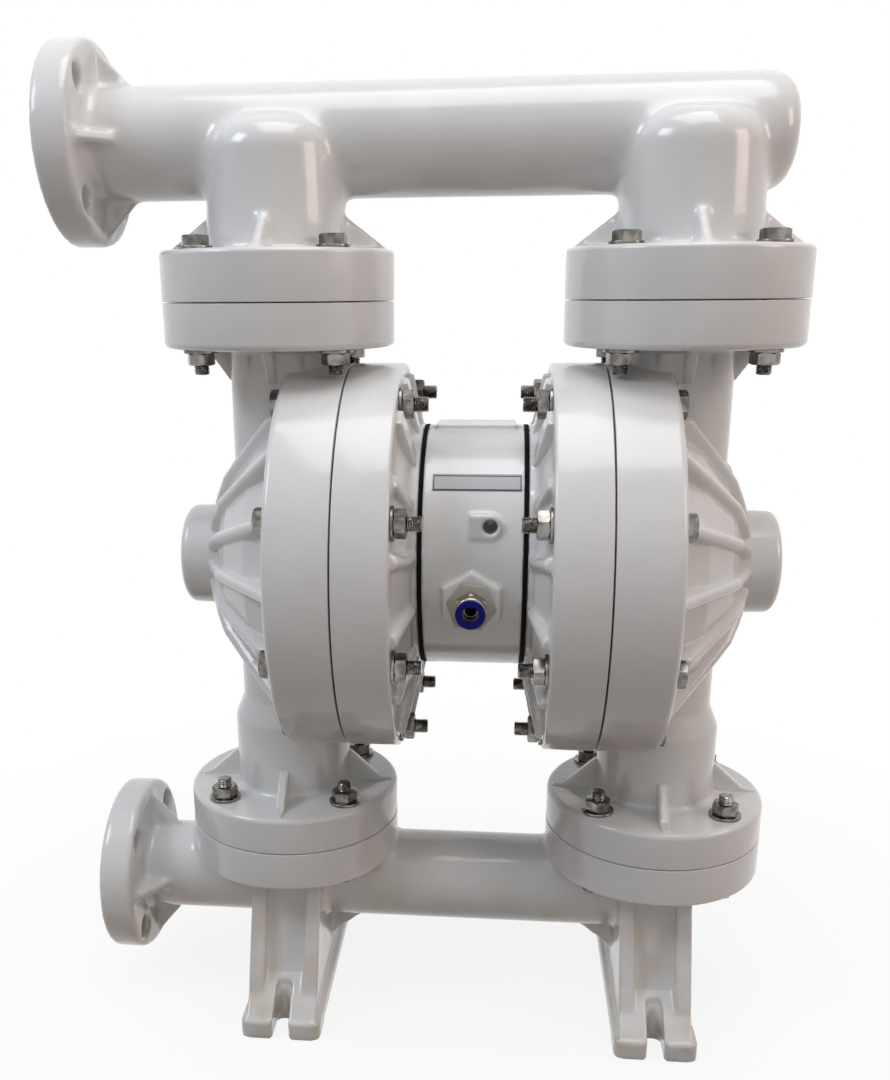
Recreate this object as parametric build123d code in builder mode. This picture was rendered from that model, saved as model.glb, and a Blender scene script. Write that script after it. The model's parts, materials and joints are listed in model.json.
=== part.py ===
from build123d import *
import math
import os

# Air operated double diaphragm pump with 50 mm flanged ports, moulded in white polypropylene.
# X runs across the pump from the port flanges, Y away from the air inlet, Z up from the floor.
# The origin is on the floor, midway between the four foot slots.

os.makedirs("parts", exist_ok=True)

# ------------------------------------------------------------------ layout, mm
shaft_height = 400.0  # rod and chamber axis above the floor
centre_width = 76.0  # centre body between its two gaskets
centre_gasket_t = 3.0
air_cap_depth = 58.0  # gasket to the chamber parting plane
tower_offset = 58.5  # parting plane out to the upright axis of a fluid tower
upper_reach = 205.0  # shaft axis up to the outlet joint
lower_reach = 234.0  # shaft axis down to the inlet joint
outlet_pipe_rise = 119.0  # outlet joint up to the outlet pipe's axis
outlet_pipe_back = 20.0  # outlet pipe's axis behind the towers
inlet_pipe_drop = 61.5  # inlet joint down to the inlet pipe's axis
outlet_arm = 169.5  # left tower's axis out to the outlet port face
inlet_arm = 162.5

# ------------------------------------------------------------------ fasteners
bolt_d = 12.0
bolt_hole_d = 13.5
hex_af = 19.0
head_t = 7.5
nut_t = 9.0
washer_d = 26.0
washer_t = 2.5
thread_clear = 0.3  # nut and washer bores over the thread
chamber_thread_end = 10.5  # thread showing past a chamber nut
joint_thread_end = 7.0
spot_gap = 1.6  # clear ring round a hexagon in its spot face

# ------------------------------------------------------------------ chamber
rim_r = 157.0
fluid_rim_t = 49.3
air_rim_t = 41.7
chamber_pcd = 282.0
chamber_bolt_count = 8
chamber_bolt_turn = 22.5  # first bolt above the horizontal
rim_chamfer = 2.0
edge_round = 5.0
lip_ease = 1.0  # faces that meet at a joint

# fluid cap, measured outward from the parting plane
dome_foot_r = 122.0
dome_shoulder = (73.0, 104.0)  # depth, radius
dome_crown = (96.0, 75.0)
dome_top_depth = 110.0
dome_wall = 12.0
boss_r = 41.0
boss_depth = 141.0
boss_round = 7.0
dome_rib_count = 16
dome_rib_t = 10.0
dome_rib_h = 8.0
dome_rib_round = 3.5
upper_tube_r = 40.5
neck_r = 42.0
ball_tube_r = 49.5
ball_tube_shoulder = 12.0
ball_tube_h = 96.0  # inlet joint up to the shoulder's start

# air cap
hub_r = 104.0  # foot of the cone that carries the ribs
hub_face_t = 5.0
cone_foot_r = 131.0
air_slab_angles = (78.75, 56.25)  # flat webs above, rounded ribs below
air_slab_t = 15.0
air_rib_angles = (11.25, -11.25, -33.75, -56.25, -78.75)
air_rib_t = 10.0
air_rib_h = 9.0
air_floor_t = 11.0
air_cavity_r = 92.0

# diaphragm
clamp_lip_r = 104.0
bead_in_r = 114.0
bead_out_r = 126.0
bead_t = 10.0
web_t = 5.0
roll_r = 62.0  # where the rolling web starts outside the plates
roll_rise = 11.0
bead_gap = 0.2

# rod, plates and pilot
rod_r = 12.5
stud_r = 8.0
plate_r = 60.0
inner_plate_t = 12.0
outer_plate_t = 12.0
plate_rim_t = 6.0
plate_cap_r = 19.0
plate_cap_t = 14.0
rod_stroke = 18.0  # each way from the middle
pilot_r = 4.0
pilot_rise = 34.0  # pilot rod above the rod
pilot_travel = 8.0  # each way
pilot_end_gap = 0.5  # left between pilot rod and plate at the end of the stroke
running_gap = 0.05
rod_bush_r = 17.0
rod_bush_l = 20.0
rod_relief_r = 14.5
pilot_bush_r = 6.5
pilot_bush_l = 14.0
pilot_relief_r = 5.0
seal_r = 18.0
seal_t = 5.0
rod_pass_gap = 0.8

# towers and joints
joint_flange_r = 91.0
joint_pcd = 146.0
joint_bolt_count = 4
outlet_flange_t = 38.0
cap_top_flange_t = 34.5
cap_foot_flange_t = 31.4
inlet_flange_t = 33.0
joint_gusset_h = 25.0
joint_gusset_t = 8.0
gusset_rim_gap = 4.0

# ball valves
ball_r = 30.0
ball_lift = 14.0
ball_gap = 0.3
ball_stop_gap = 0.6
ball_guide_gap = 1.5
ball_bore_r = 38.0
seat_r = 36.0
seat_bore_r = 24.0
seat_edge = 1.0
seat_h = 12.0
seat_ring_in_r = 28.5
seat_ring_w = 3.2
seat_ring_t = 3.0
cage_t = 8.0
cage_below = 16.0  # guide ribs start this far under the ball's middle
cage_above = 13.0  # and reach this far over its top at full lift
passage_r = 28.0

# manifolds
outlet_pipe_r = 42.0
inlet_pipe_r = 38.7
gallery_r = 27.0
port_bore_r = 25.0
port_bore_l = 75.0
port_flange_r = 76.2
port_flange_t = 28.5
port_pcd = 120.65
port_hole_r = 9.5
port_hole_count = 4
port_gusset_r = 70.0
port_gusset_l = 26.0
port_gusset_t = 8.0
branch_foot_r = 54.0
branch_top_r = 50.0
branch_foot_h = 18.0  # straight part over the flange
branch_h = 94.0
branch_round = 25.0
flange_round = 7.0

# legs
leg_w = 59.0
leg_rib_t = 10.0
leg_top_y = 60.0
leg_low_y = 87.0
leg_low_z = 46.0
leg_recess = 14.0
sole_w = 68.0
sole_reach = 110.0
sole_t = 16.0
slot_w = 14.0
slot_l = 22.0
slot_rise = 30.0  # slot cut up into the leg's foot
leg_gusset_l = 36.0
leg_gusset_h = 40.0
leg_gusset_t = 10.0

# centre body and air side
drum_r = 98.0
drum_rise = 11.0  # drum axis above the rod
pad_w = 62.0
pad_d = 40.0
pad_h = 2.0
inlet_x = 0.0
inlet_drop = 13.0  # air inlet below the rod
inlet_boss_af = 43.0
inlet_boss_face = 103.0  # in front of the shaft plane
inlet_thread_r = 10.5
inlet_thread_l = 30.0
pilot_port_x = 13.0
pilot_port_rise = 45.0
pilot_port_r = 5.5
pilot_port_l = 26.0
pilot_boss_w = 18.0
pilot_boss_face = 96.5
passage_air_r = 6.0
passage_air_y = 42.0
cap_screw_d = 8.0
cap_screw_head_r = 6.5
cap_screw_head_t = 8.0
cap_screw_r = 76.0
cap_screw_l = 34.0
cap_screw_count = 4
plate_label_w = 67.0
plate_label_x = 2.5
plate_label_t = 1.2
plate_label_low = 36.5  # angles up the drum
plate_label_high = 44.5

valve_pad_h = 2.0  # valve pad proud of the drum
valve_w = 72.0
valve_h = 84.0
valve_depth = 56.0
valve_gasket_t = 2.0
valve_round = 3.0
sleeve_r = 15.0
spool_r = 10.0
spool_land_l = 12.0
spool_waist_r = 6.0
spool_travel = 11.0
spool_end_gap = 0.6
sleeve_port_r = 4.0
end_cap_t = 5.0
end_cap_r = 19.0
valve_screw_x = 29.0
valve_screw_z = 33.0
valve_screw_grip = 16.0  # thread held in the centre body
supply_drop = 27.0  # supply passage below the rod
exhaust_r = 11.0
exhaust_drop = 24.0
exhaust_depth = 28.0
muffler_hold = 14.0
muffler_r = 25.0
muffler_l = 84.0
muffler_neck_l = 16.0
muffler_slot_count = 8

bushing_af = 33.0
bushing_t = 6.0
bushing_bore_r = 6.6
fitting_af = 22.0
fitting_hex_t = 7.0
fitting_r = 11.6
fitting_l = 9.0
tube_r = 6.0
tube_gap = 0.15
collar_r = 11.0
collar_t = 3.2
collar_stem_r = 8.0
collar_stem_l = 8.0
collar_travel = 1.5
collar_gap = 0.4
tube_stop_l = 6.0  # tube's seat past the collar

# ------------------------------------------------------------------ places that follow
gasket_x = centre_width / 2
air_cap_x = gasket_x + centre_gasket_t
parting_x = air_cap_x + air_cap_depth
tower_x = parting_x + tower_offset
fluid_rim_x = parting_x + fluid_rim_t
air_rim_x = parting_x - air_rim_t
upper_z = shaft_height + upper_reach
lower_z = shaft_height - lower_reach
outlet_z = upper_z + outlet_pipe_rise
inlet_z = lower_z - inlet_pipe_drop
outlet_face_x = -tower_x - outlet_arm
inlet_face_x = -tower_x - inlet_arm
drum_z = shaft_height + drum_rise
supply_z = shaft_height - supply_drop
exhaust_z = shaft_height - exhaust_drop
air_in_z = shaft_height - inlet_drop
pilot_z = shaft_height + pilot_rise
valve_pad_y = drum_r + valve_pad_h
valve_face_y = valve_pad_y + valve_gasket_t
valve_back_y = valve_face_y + valve_depth
spool_y = valve_face_y + valve_depth / 2
air_port_x = gasket_x - 2 * passage_air_r
ball_rest_h = seat_h + math.sqrt((ball_r + ball_gap) ** 2 - (seat_bore_r + seat_edge) ** 2)
chamber_grip = fluid_rim_t + air_rim_t
outlet_grip = outlet_flange_t + cap_top_flange_t
inlet_grip = inlet_flange_t + cap_foot_flange_t
plate_face_x = parting_x - web_t / 2 - inner_plate_t
pilot_half = plate_face_x - rod_stroke + pilot_travel - pilot_end_gap
rod_axis = Axis((0, 0, shaft_height), (1, 0, 0))

# ------------------------------------------------------------------ helpers


def turn(points, axis, plane=Plane.XZ, mode=Mode.ADD, rounds=()):
    """Turn a closed outline about an axis; rounds holds (corner, radius) pairs."""
    with BuildSketch(plane) as outline:
        with BuildLine():
            Polyline(*points, close=True)
        make_face()
        for corner, radius in rounds:
            fillet(outline.vertices().sort_by_distance(corner)[:1], radius)
    revolve(outline.sketch, axis=axis, mode=mode)


def turn_chamber(points, mode=Mode.ADD, rounds=()):
    """Turn (depth out from the parting plane, radius) pairs about the rod's axis."""
    turn([(parting_x + d, shaft_height + r) for d, r in points], rod_axis, mode=mode,
         rounds=[((parting_x + d, shaft_height + r), size) for (d, r), size in rounds])


def turn_tower(side, points, mode=Mode.ADD, rounds=()):
    """Turn (radius, height) pairs about one tower's upright axis."""
    x = side * tower_x
    turn([(x + r, z) for r, z in points], Axis((x, 0, 0), (0, 0, 1)), mode=mode,
         rounds=[((x + r, z), size) for (r, z), size in rounds])


def drill(plane, spots, radius, depth):
    """Drill round holes from a plane, inward against its normal."""
    with BuildSketch(plane) as rounds:
        with Locations(*spots):
            Circle(radius)
    extrude(rounds.sketch, amount=-depth, mode=Mode.SUBTRACT)


def ring_spots(pcd, count, first, centre=(0, 0)):
    """Points evenly round a circle, the first at an angle from the first axis."""
    angles = [math.radians(first + 360 / count * k) for k in range(count)]
    return [(centre[0] + pcd / 2 * math.cos(a), centre[1] + pcd / 2 * math.sin(a)) for a in angles]


def turn_flange(side, joint_z, outer_z, rounding):
    """Joint flange of a tower, its outer edge round and its joint edge barely eased."""
    rim = joint_flange_r
    turn_tower(side, [(0, joint_z), (rim, joint_z), (rim, outer_z), (0, outer_z)],
               rounds=[((rim, joint_z), lip_ease), ((rim, outer_z), rounding)])


def gusset(plane, points, thickness):
    """A flat web of an outline, centred on its plane."""
    with BuildSketch(plane) as web:
        with BuildLine():
            Polyline(*points, close=True)
        make_face()
    extrude(web.sketch, amount=thickness / 2, both=True)


def tower_gussets(side, inner_r, outer_r, face_z, height, bite):
    """Four webs between a tower's tube and its flange, between the bolts."""
    x = side * tower_x
    for k in range(4):
        web_plane = Plane(origin=(x, 0, 0), x_dir=Vector(1, 0, 0).rotate(Axis.Z, 90 * k),
                          z_dir=Vector(0, -1, 0).rotate(Axis.Z, 90 * k))
        outline = [
            (inner_r - bite, face_z - math.copysign(bite, height)),
            (outer_r, face_z - math.copysign(bite, height)),
            (outer_r, face_z),
            (inner_r, face_z + height),
            (inner_r - bite, face_z + height),
        ]
        gusset(web_plane, outline, joint_gusset_t)


def ball_room(side, joint_z, bore_top):
    """Seat pocket, ball bore and four guide ribs above a joint face."""
    middle = joint_z + ball_rest_h
    turn_tower(side, [(0, joint_z), (ball_bore_r, joint_z), (ball_bore_r, bore_top),
                      (0, bore_top)], mode=Mode.SUBTRACT)
    x = side * tower_x
    low, high = middle - cage_below, middle + ball_lift + ball_r + cage_above
    swept = ball_r + ball_guide_gap
    with BuildPart(mode=Mode.PRIVATE) as cage:
        with BuildSketch(Plane.XY.offset(low)):
            with Locations(Location((x, 0), 45), Location((x, 0), -45)):
                Rectangle(2 * ball_bore_r + 1, cage_t)
        extrude(amount=high - low)
        with Locations((x, 0, low)):
            Cylinder(ball_bore_r + 0.5, high - low, mode=Mode.INTERSECT,
                     align=(Align.CENTER, Align.CENTER, Align.MIN))
            Cylinder(swept, middle + ball_lift - low, mode=Mode.SUBTRACT,
                     align=(Align.CENTER, Align.CENTER, Align.MIN))
        with Locations((x, 0, middle + ball_lift)):
            Sphere(swept - ball_guide_gap + ball_stop_gap, mode=Mode.SUBTRACT)
    add(cage.part)


def save(builder, name):
    """Label a finished piece and write its STEP file."""
    builder.part.label = name
    export_step(builder.part, f"parts/{name}.step")


def save_mirrored(builder, name):
    """Write the left-hand twin of a right-hand piece."""
    with BuildPart() as twin:
        mirror(builder.part, about=Plane.YZ, mode=Mode.ADD)
    save(twin, name)


def hex_bolt(length):
    """Hexagon head bolt: the head stands on z = 0, the shank hangs below."""
    with BuildPart() as bolt:
        with BuildSketch():
            RegularPolygon(hex_af / 2, 6, major_radius=False)
        extrude(amount=head_t)
        Cylinder(bolt_d / 2, length, align=(Align.CENTER, Align.CENTER, Align.MAX))
    return bolt.part


def hex_nut():
    """Hexagon nut standing on z = 0."""
    with BuildPart() as nut:
        with BuildSketch():
            RegularPolygon(hex_af / 2, 6, major_radius=False)
            Circle(bolt_d / 2 + thread_clear / 2, mode=Mode.SUBTRACT)
        extrude(amount=nut_t)
    return nut.part


def flat_washer():
    """Plain washer standing on z = 0."""
    with BuildPart() as washer:
        with BuildSketch():
            Circle(washer_d / 2)
            Circle(bolt_d / 2 + thread_clear, mode=Mode.SUBTRACT)
        extrude(amount=washer_t)
    return washer.part


def place_all(piece, planes):
    """One node that holds a copy of a fastener on each plane."""
    with BuildPart() as group:
        for plane in planes:
            add(plane.location * piece)
    return group


# ------------------------------------------------------------------ fluid caps


def fluid_cap():
    skin = [(fluid_rim_t, dome_foot_r), dome_shoulder, dome_crown, (dome_top_depth, boss_r)]
    with BuildPart() as cap:
        # rim, dome and central boss, turned about the rod's axis
        turn_chamber([
            (0, 0), (0, rim_r - rim_chamfer), (rim_chamfer, rim_r), (fluid_rim_t, rim_r),
            *skin, (boss_depth, boss_r), (boss_depth, 0),
        ], rounds=[((fluid_rim_t, rim_r), edge_round), ((boss_depth, boss_r), boss_round)])
        # radial ribs with eased crowns, from the boss out to the rim
        ridge = [(d + dome_rib_h, r) for d, r in skin]
        ridge = [(fluid_rim_t, rim_r - edge_round - 10)] + ridge[1:]
        with BuildPart(mode=Mode.PRIVATE) as rib:
            with BuildSketch(Plane.XZ):
                with BuildLine():
                    crown = Spline(*[(parting_x + d, shaft_height + r) for d, r in ridge])
                    Polyline(crown @ 1, (parting_x + boss_depth / 2, shaft_height + boss_r / 2),
                             (parting_x + fluid_rim_t / 2, shaft_height + boss_r / 2),
                             (parting_x + fluid_rim_t / 2, shaft_height + rim_r - edge_round - 10),
                             crown @ 0)
                make_face()
            extrude(amount=dome_rib_t / 2, both=True)
            chamfer(rib.edges().filter_by(GeomType.BSPLINE), dome_rib_round)
        for k in range(dome_rib_count):
            add(rib.part.rotate(rod_axis, 360 / dome_rib_count * k))
        # upper tube and outlet joint flange
        flange_low = upper_z - cap_top_flange_t
        turn_tower(1, [(0, shaft_height), (upper_tube_r, shaft_height), (upper_tube_r, flange_low + 1),
                       (0, flange_low + 1)])
        turn_flange(1, upper_z, flange_low, edge_round)
        tower_gussets(1, upper_tube_r, joint_flange_r - 28, flange_low, -28, 6)
        # neck, ball tube and inlet joint flange
        flange_high = lower_z + cap_foot_flange_t
        shoulder_z = lower_z + ball_tube_h
        turn_flange(1, lower_z, flange_high, edge_round)
        turn_tower(1, [(0, flange_high - 1), (ball_tube_r, flange_high - 1), (ball_tube_r, shoulder_z),
                       (neck_r, shoulder_z + ball_tube_shoulder), (neck_r, shaft_height - 50),
                       (0, shaft_height - 50)])
        tower_gussets(1, ball_tube_r, joint_flange_r - gusset_rim_gap, flange_high, joint_gusset_h, 6)
        # spot faces for the chamber bolts
        spots = ring_spots(chamber_pcd, chamber_bolt_count, chamber_bolt_turn, (0, shaft_height))
        with BuildSketch(Plane.YZ.offset(fluid_rim_x)):
            with Locations(*spots):
                Circle(hex_af / math.sqrt(3) + spot_gap)
        extrude(amount=boss_depth / 3, mode=Mode.SUBTRACT)
        # fluid chamber with the pocket for the diaphragm's bead
        turn_chamber([
            (0, 0), (0, bead_out_r + bead_gap), (bead_t / 2, bead_out_r + bead_gap),
            (bead_t / 2, bead_in_r - bead_gap), (web_t / 2, bead_in_r - bead_gap),
            (web_t / 2, clamp_lip_r), (fluid_rim_t - dome_wall / 2, clamp_lip_r),
            (dome_shoulder[0] - dome_wall, dome_shoulder[1] - dome_wall),
            (dome_crown[0] - dome_wall, dome_crown[1] - dome_wall / 2),
            (dome_top_depth - dome_wall, boss_r - dome_wall / 2),
            (dome_top_depth - dome_wall, boss_r - dome_wall),
            (boss_depth - dome_wall, boss_r - dome_wall), (boss_depth - dome_wall, 0),
        ], mode=Mode.SUBTRACT)
        # passages to the valves, and the inlet ball's bore
        turn_tower(1, [(0, shaft_height), (passage_r, shaft_height), (passage_r, upper_z - 16),
                       (seat_bore_r, upper_z), (0, upper_z)], mode=Mode.SUBTRACT)
        bore_top = lower_z + ball_rest_h + ball_lift + ball_r + cage_above
        turn_tower(1, [(0, lower_z), (passage_r, lower_z), (passage_r, shaft_height - 60),
                       (0, shaft_height - 60)], mode=Mode.SUBTRACT)
        ball_room(1, lower_z, bore_top)
        # O-ring groove under the outlet seat
        turn_tower(1, [(seat_ring_in_r, upper_z - seat_ring_t),
                       (seat_ring_in_r + seat_ring_w, upper_z - seat_ring_t),
                       (seat_ring_in_r + seat_ring_w, upper_z + 1),
                       (seat_ring_in_r, upper_z + 1)], mode=Mode.SUBTRACT)
        # bolt holes
        drill(Plane.YZ.offset(fluid_rim_x), spots, bolt_hole_d / 2, fluid_rim_t)
        joint_spots = ring_spots(joint_pcd, joint_bolt_count, 45, (tower_x, 0))
        drill(Plane.XY.offset(upper_z), joint_spots, bolt_hole_d / 2, cap_top_flange_t)
        drill(Plane.XY.offset(flange_high), joint_spots, bolt_hole_d / 2, cap_foot_flange_t)
    return cap


# ------------------------------------------------------------------ air caps


def air_cap():
    spots = ring_spots(chamber_pcd, chamber_bolt_count, chamber_bolt_turn, (0, shaft_height))
    depth = -air_cap_depth
    with BuildPart() as cap:
        turn_chamber([
            (0, 0), (0, rim_r - rim_chamfer), (-rim_chamfer, rim_r), (-air_rim_t, rim_r),
            (-air_rim_t, cone_foot_r), (depth + hub_face_t, hub_r), (depth + hub_face_t, 0),
        ], rounds=[((-air_rim_t, rim_r), edge_round)])
        # round hub that meets the centre body
        with BuildSketch(Plane.YZ.offset(air_cap_x)):
            with Locations((0, drum_z)):
                Circle(drum_r)
        extrude(amount=air_rim_t / 2)
        # radial webs from the hub out to the rim, front and back alike
        webs = [(angle, air_slab_t) for angle in air_slab_angles]
        webs += [(angle, air_rib_t) for angle in air_rib_angles]
        for angle, thickness in webs:
            for turned in (180 - angle, angle):
                web_plane = Plane(origin=(0, 0, shaft_height), x_dir=(1, 0, 0),
                                  z_dir=Vector(0, 0, -1).rotate(Axis.X, turned))
                reach = chamber_pcd / 2
                outline = [
                    (air_rim_x + 4, reach + 8), (air_rim_x - air_rib_h / 2, reach + 8),
                    (air_cap_x + 2, drum_r + 4), (air_cap_x + 2, drum_r - 12),
                    (air_rim_x + 4, drum_r - 12),
                ]
                gusset(web_plane, outline, thickness)
        # flats for the nuts' washers
        with BuildSketch(Plane.YZ.offset(air_rim_x)):
            with Locations(*spots):
                Circle(washer_d / 2 + spot_gap)
        extrude(amount=-(air_rim_x - air_cap_x), mode=Mode.SUBTRACT)
        # air chamber with the pocket for the diaphragm's bead
        floor = depth + air_floor_t
        turn_chamber([
            (0, 0), (0, bead_out_r + bead_gap), (-bead_t / 2, bead_out_r + bead_gap),
            (-bead_t / 2, bead_in_r - bead_gap), (-web_t / 2, bead_in_r - bead_gap),
            (-web_t / 2, clamp_lip_r), (floor + 8, air_cavity_r), (floor, air_cavity_r - 8),
            (floor, 0),
        ], mode=Mode.SUBTRACT)
        # rod hole with its seal pocket, pilot rod hole, air port and screws
        inner = Plane.YZ.offset(air_cap_x + air_floor_t)
        drill(inner, [(0, shaft_height)], rod_r + rod_pass_gap, air_floor_t)
        drill(Plane.YZ.offset(air_cap_x + seal_t), [(0, shaft_height)], seal_r, seal_t)
        drill(inner, [(0, pilot_z)], pilot_r + rod_pass_gap, air_floor_t)
        drill(inner, [(passage_air_y, shaft_height)], passage_air_r, air_floor_t)
        drill(inner, cap_screw_spots(), cap_screw_d / 2 + thread_clear, air_floor_t)
        drill(Plane.YZ.offset(parting_x), spots, bolt_hole_d / 2, air_rim_t)
    return cap


def cap_screw_spots():
    return ring_spots(2 * cap_screw_r, cap_screw_count, 45, (0, shaft_height))


# ------------------------------------------------------------------ manifolds


def port_flange(face_x, y, z, pipe_r):
    """Port flange with four webs back to the pipe."""
    back, rim = face_x + port_flange_t, z + port_flange_r
    turn([(face_x, z), (face_x, rim), (back, rim), (back, z)], Axis((0, y, z), (1, 0, 0)),
         plane=Plane.XZ.offset(-y), rounds=[((face_x, rim), edge_round / 2), ((back, rim), edge_round)])
    for k in range(4):
        web_plane = Plane(origin=(0, y, z), x_dir=(1, 0, 0),
                          z_dir=Vector(0, -1, 0).rotate(Axis.X, 90 * k))
        outline = [(back - 5, pipe_r - 5), (back - 5, port_gusset_r), (back, port_gusset_r),
                   (back + port_gusset_l, pipe_r), (back + port_gusset_l, pipe_r - 5)]
        gusset(web_plane, outline, port_gusset_t)


def port_bores(face_x, y, z, end_x):
    """Round port mouth, gallery behind it and the flange's bolt holes."""
    mouth = Plane(origin=(face_x, y, z), x_dir=(0, 1, 0), z_dir=(-1, 0, 0))
    drill(mouth, [(0, 0)], port_bore_r, port_bore_l)
    deep = Plane(origin=(face_x + port_bore_l, y, z), x_dir=(0, 1, 0), z_dir=(-1, 0, 0))
    drill(deep, [(0, 0)], gallery_r, end_x - face_x - port_bore_l)
    holes = ring_spots(port_pcd, port_hole_count, 45)
    drill(mouth, holes, port_hole_r, port_flange_t)


def outlet_manifold():
    flange_top = upper_z + outlet_flange_t
    y = outlet_pipe_back
    with BuildPart() as body:
        # pipe with a round closed end
        with BuildSketch(Plane.YZ.offset(outlet_face_x + port_flange_t / 2)):
            with Locations((y, outlet_z)):
                Circle(outlet_pipe_r)
        pipe_end = tower_x + outlet_pipe_r * 0.75
        extrude(amount=pipe_end - outlet_face_x - port_flange_t / 2)
        with Locations((pipe_end, y, outlet_z)):
            Sphere(outlet_pipe_r)
        for side in (-1, 1):
            # joint flange and tapering ball chamber with a rounded top
            turn_flange(side, upper_z, flange_top, flange_round)
            crown = (branch_top_r, flange_top + branch_h)
            turn_tower(side, [
                (0, flange_top - 5), (branch_foot_r, flange_top - 5),
                (branch_foot_r, flange_top + branch_foot_h), crown, (0, flange_top + branch_h),
            ], rounds=[(crown, branch_round)])
            tower_gussets(side, branch_foot_r, joint_flange_r - gusset_rim_gap, flange_top,
                          joint_gusset_h, 6)
        port_flange(outlet_face_x, y, outlet_z, outlet_pipe_r)
        port_bores(outlet_face_x, y, outlet_z, tower_x + gallery_r * 0.9)
        for side in (-1, 1):
            ball_room(side, upper_z, outlet_z)
            spots = ring_spots(joint_pcd, joint_bolt_count, 45, (side * tower_x, 0))
            drill(Plane.XY.offset(flange_top), spots, bolt_hole_d / 2, outlet_flange_t)
    save(body, "outlet_manifold")


def inlet_manifold():
    flange_low = lower_z - inlet_flange_t
    leg_in = leg_w / 2 - leg_rib_t
    with BuildPart() as body:
        with BuildSketch(Plane.YZ.offset(inlet_face_x + port_flange_t / 2)):
            with Locations((0, inlet_z)):
                Circle(inlet_pipe_r)
        extrude(amount=tower_x + inlet_pipe_r * 0.75 - inlet_face_x - port_flange_t / 2)
        for side in (-1, 1):
            x = side * tower_x
            turn_flange(side, lower_z, flange_low, edge_round)
            # leg: two side ribs, a recessed web and a slotted sole
            rib = [(leg_top_y, flange_low + 4), (leg_top_y + 2, flange_low - 20),
                   (leg_low_y, leg_low_z), (sole_reach - 14, sole_t - 2)]
            rib = rib + [(-a, b) for a, b in reversed(rib)]
            for edge in (-1, 1):
                rib_x = x + edge * (leg_w - leg_rib_t) / 2
                gusset(Plane.YZ.offset(rib_x), rib, leg_rib_t)
            web = [(leg_top_y - leg_recess, flange_low + 4), (leg_low_y - leg_recess, leg_low_z + 6),
                   (sole_reach - 20, sole_t - 2)]
            web = web + [(-a, b) for a, b in reversed(web)]
            gusset(Plane.YZ.offset(x), web, 2 * leg_in + 1)
            with BuildSketch(Plane.XY):
                with Locations((x, 0)):
                    RectangleRounded(sole_w, 2 * sole_reach, 8)
            extrude(amount=sole_t)
            # open slots for the foot bolts, cut up through the leg's foot
            with BuildSketch(Plane.XY):
                with Locations((x, sole_reach - slot_l / 2), (x, -sole_reach + slot_l / 2)):
                    Rectangle(slot_w, slot_l)
                with Locations((x, sole_reach - slot_l), (x, -sole_reach + slot_l)):
                    Circle(slot_w / 2)
            extrude(amount=sole_t + slot_rise, mode=Mode.SUBTRACT)
            # web between the leg and the underside of the pipe, towards the middle
            inward = -side
            low = inlet_z - inlet_pipe_r
            outline = [(x + inward * (leg_w / 2 - 4), low + 6),
                       (x + inward * (leg_w / 2 + leg_gusset_l), low + 6),
                       (x + inward * (leg_w / 2 + leg_gusset_l), low + 1),
                       (x + inward * (leg_w / 2 - 4), low - leg_gusset_h + leg_gusset_h / 4)]
            gusset(Plane.XZ, outline, leg_gusset_t)
        port_flange(inlet_face_x, 0, inlet_z, inlet_pipe_r)
        port_bores(inlet_face_x, 0, inlet_z, tower_x + seat_bore_r)
        for side in (-1, 1):
            turn_tower(side, [(0, inlet_z), (seat_bore_r, inlet_z), (seat_bore_r, lower_z), (0, lower_z)],
                       mode=Mode.SUBTRACT)
            turn_tower(side, [(seat_ring_in_r, lower_z - seat_ring_t),
                              (seat_ring_in_r + seat_ring_w, lower_z - seat_ring_t),
                              (seat_ring_in_r + seat_ring_w, lower_z + 1),
                              (seat_ring_in_r, lower_z + 1)], mode=Mode.SUBTRACT)
            spots = ring_spots(joint_pcd, joint_bolt_count, 45, (side * tower_x, 0))
            drill(Plane.XY.offset(lower_z), spots, bolt_hole_d / 2, inlet_flange_t)
            # clearance beside the pipe for the bolt heads
            with BuildSketch(Plane.XY.offset(flange_low)):
                with Locations(*spots):
                    Circle(hex_af / math.sqrt(3) + spot_gap)
            extrude(amount=-(head_t + 4), mode=Mode.SUBTRACT)
    save(body, "inlet_manifold")


# ------------------------------------------------------------------ ball valves


def ball_valve(side, joint_z, place, hand):
    x, ring_z = side * tower_x, joint_z
    with BuildPart() as seat:
        turn_tower(side, [
            (seat_bore_r, joint_z), (seat_r - bead_gap, joint_z), (seat_r - bead_gap, joint_z + seat_h),
            (seat_bore_r + seat_edge, joint_z + seat_h), (seat_bore_r, joint_z + seat_h - seat_edge),
        ])
    save(seat, f"{place}_seat_{hand}")
    with BuildPart() as ring:
        turn_tower(side, [
            (seat_ring_in_r, ring_z - seat_ring_t), (seat_ring_in_r + seat_ring_w, ring_z - seat_ring_t),
            (seat_ring_in_r + seat_ring_w, ring_z), (seat_ring_in_r, ring_z),
        ])
    save(ring, f"{place}_seat_ring_{hand}")
    with BuildPart() as ball:
        with Locations((x, 0, joint_z + ball_rest_h)):
            Sphere(ball_r)
    save(ball, f"{place}_ball_{hand}")


# ------------------------------------------------------------------ diaphragms, rod and pilot


def diaphragm():
    half = web_t / 2
    middle = (clamp_lip_r + roll_r) / 2
    with BuildPart() as disc:
        turn_chamber([
            (-half, stud_r + running_gap), (-half, roll_r), (roll_rise - half, middle),
            (-half, clamp_lip_r), (-half, bead_in_r), (-bead_t / 2, bead_in_r),
            (-bead_t / 2, bead_out_r), (bead_t / 2, bead_out_r), (bead_t / 2, bead_in_r),
            (half, bead_in_r), (half, clamp_lip_r), (roll_rise + half, middle), (half, roll_r),
            (half, stud_r + running_gap),
        ])
    return disc


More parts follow.
